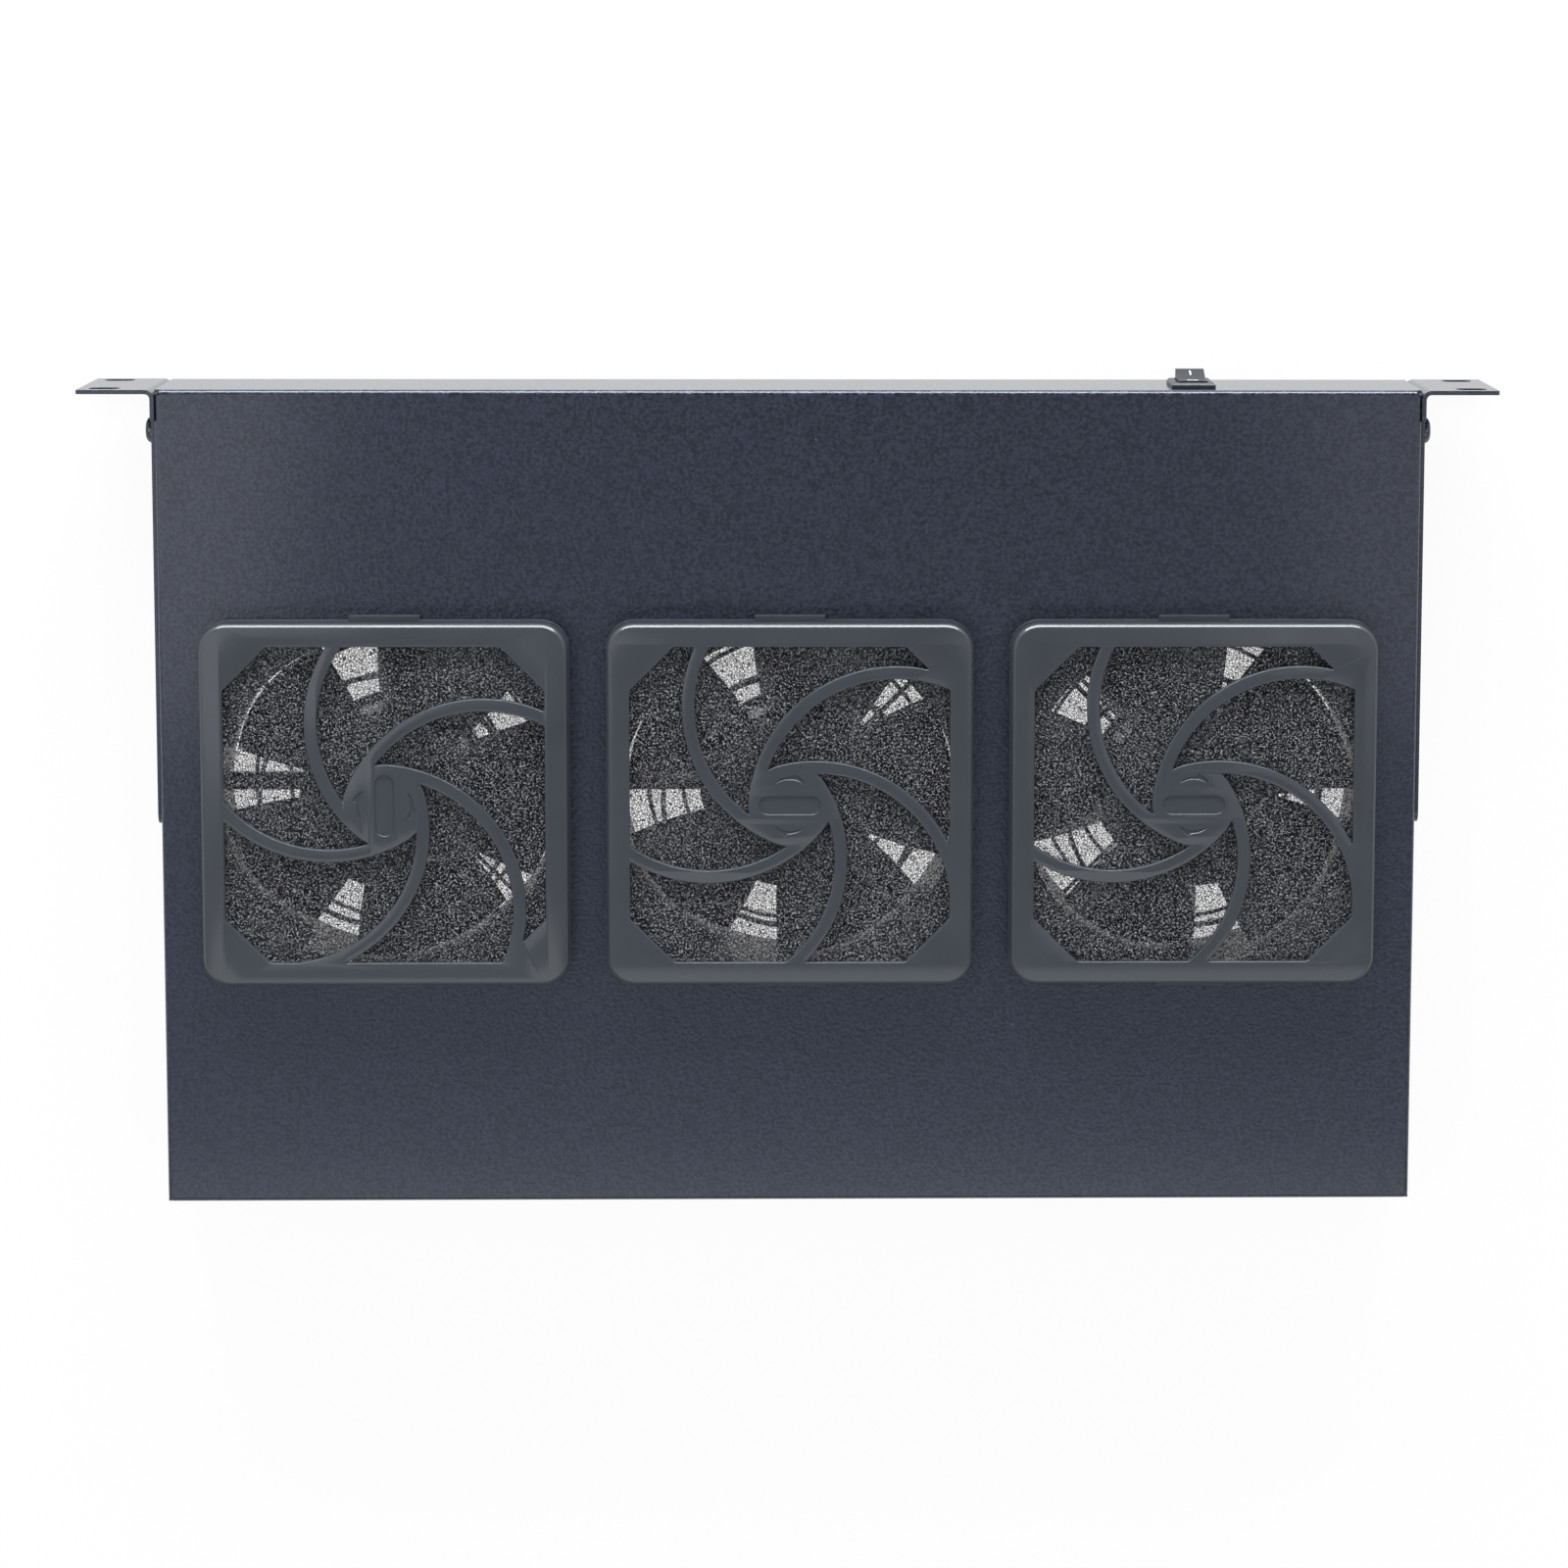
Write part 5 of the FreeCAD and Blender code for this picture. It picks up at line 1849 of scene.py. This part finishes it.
@dataclass(frozen=True)
class Room:
    """Light of the room: a white sweep at the horizon under a dimmer ceiling."""

    sweep: float = 1.0
    ceiling: float = 0.14
    low: float = 0.15
    high: float = 0.65

    def build(self) -> None:
        """Make the world."""
        world = bpy.data.worlds.new("room")
        graph = Graph(world)
        parts = graph.node("ShaderNodeSeparateXYZ", None, {0: graph.place()}, "Z")
        inputs = {0: parts, 1: self.low, 2: self.high, 3: self.sweep, 4: self.ceiling}
        strength = graph.node("ShaderNodeMapRange", {"clamp": True}, inputs)
        inputs = {"Color": rgba((1, 1, 1)), "Strength": strength}
        graph.output(graph.node("ShaderNodeBackground", None, inputs), "ShaderNodeOutputWorld")
        bpy.context.scene.world = world


@dataclass(frozen=True)
class WhiteFloor:
    """Plain floor that stays white and keeps a soft shadow."""

    size: float = 16.0
    level: float = -0.022
    tone: float = 0.82
    glow: float = 0.94

    def build(self) -> bpy.types.Object:
        """Lay the floor under the tray.

        Returns:
            The floor.
        """
        half, level = self.size / 2, self.level
        corners = [(x * half, y * half, level) for x, y in ((-1, -1), (1, -1), (1, 1), (-1, 1))]
        mesh = bpy.data.meshes.new("floor")
        mesh.from_pydata(corners, [], [range(len(corners))])
        graph = Graph(bpy.data.materials.new("floor_white"))
        matt = graph.node("ShaderNodeBsdfDiffuse", None, {"Color": rgba((self.tone,) * 3)})
        glow = graph.node("ShaderNodeEmission", None, {"Color": rgba((1, 1, 1)), "Strength": 1.0})
        rays = [
            graph.node("ShaderNodeLightPath", output=f"Is {kind} Ray")
            for kind in ("Camera", "Glossy", "Transmission")
        ]
        factor = rays[0].math("MAXIMUM", rays[1]).math("MAXIMUM", rays[2]) * self.glow
        mixed = graph.node("ShaderNodeMixShader", None, {0: factor, 1: matt, 2: glow})
        graph.output(mixed, "ShaderNodeOutputMaterial")
        mesh.materials.append(graph.owner)
        floor = added("floor", mesh)
        floor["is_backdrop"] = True
        return floor


@dataclass(frozen=True)
class Viewpoint:
    """The camera: a shift lens that looks down on the filter covers from in front."""

    place: Vector = Vector((-0.0043, -0.12503, 1.39127))
    aim: Vector = Vector((-0.03128, 0.03399, 0.022))
    up: Vector = Vector((0.000255, -0.993323, -0.115367))
    lens: float = 93.102
    sensor: float = 36.0
    shift: tuple[float, float] = (-0.0625, -0.1875)
    clip: tuple[float, float] = (0.01, 40.0)

    def build(self) -> bpy.types.Object:
        """Set the camera up and make it the scene's.

        Returns:
            The camera.
        """
        camera = bpy.data.cameras.new("camera")
        camera.lens, camera.sensor_width = self.lens, self.sensor
        camera.shift_x, camera.shift_y = self.shift
        camera.clip_start, camera.clip_end = self.clip
        ahead = (self.aim - self.place).normalized()
        right = ahead.cross(self.up).normalized()
        turn = Matrix((right, right.cross(ahead), -ahead)).transposed().to_quaternion()
        holder = added("camera", camera)
        holder.matrix_world = Matrix.LocRotScale(self.place, turn, None)
        bpy.context.scene.camera = holder
        return holder


LAMPS = (
    SoftBox("rear_box", (0.0, 0.95, 1.3), (2.0, 0.6), 8.0),
    SoftBox("left_box", (1.0, 0.0, 1.3), (0.7, 1.6), 7.2),
    SoftBox("right_box", (-1.0, 0.0, 1.3), (0.7, 1.6), 4.0),
    SoftBox("front_strip", (0.0, -1.6, 0.5), (2.4, 0.5), 90.0),
)


# --- The whole

# Width of the rounded edges of the other softened nodes, in millimetres.
SOFTENED = {
    "tray_pan": 0.12,
    "left_rack_ear": 0.18,
    "right_rack_ear": 0.18,
    "power_inlet": 0.4,
    "inlet_boot": 0.5,
    "terminal_block": 0.4,
}
# Degrees that a cover is turned by where it isn't as the others are.
COVER_TURNS = {Place.RIGHT: -90.0}


@dataclass(frozen=True)
class SizeRecord:
    """Takes the box of the model before and after dressing and keeps nothing."""

    def write(self, before: object, after: object) -> None:
        """Take both boxes; nothing is written.

        Args:
            before: The box of the CAD nodes; not used.
            after: The box of the dressed model; not used.
        """


def coat_nodes(frame: dict, paint: Paintbox) -> None:
    """Give every CAD node the finish of its material slot.

    Args:
        frame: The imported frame.
        paint: The finishes.
    """
    for node, shape in frame["nodes"].items():
        material = paint.for_slot(slot_of(frame, node))
        shape.data.materials.clear()
        shape.data.materials.append(material)


def report(pieces: Iterable[bpy.types.Object]) -> None:
    """Log each piece with its number of faces."""
    for piece in pieces:
        LOG.info("%s: %d faces", piece.name, len(piece.data.polygons))


def main() -> None:
    """Load the frame, dress it piece by piece and light it."""
    logging.basicConfig(level=logging.INFO, format="%(name)s: %(message)s")
    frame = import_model()
    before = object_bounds()
    paint = Paintbox()
    coat_nodes(frame, paint)
    softener = Softener(frame, paint)
    guard = wire_guard_tree()
    for place in Place:
        cover = FilterCover(place, COVER_TURNS.get(place, 0.0))
        report([cover.build(paint), FoamPad(place).build(paint)])
        report(FanModule(place).build(softener, guard))
    tree = fastener_tree()
    report([row.build(frame, paint, tree) for row in FASTENERS])
    report(RockerSwitch().build(softener))
    report([softener.copy(node, width) for node, width in SOFTENED.items()])
    WhiteFloor().build()
    Room().build()
    for lamp in LAMPS:
        lamp.build()
    Viewpoint().build()
    bpy.context.scene.view_settings.view_transform = "Standard"
    SizeRecord().write(before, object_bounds())


if __name__ == "__main__":
    main()
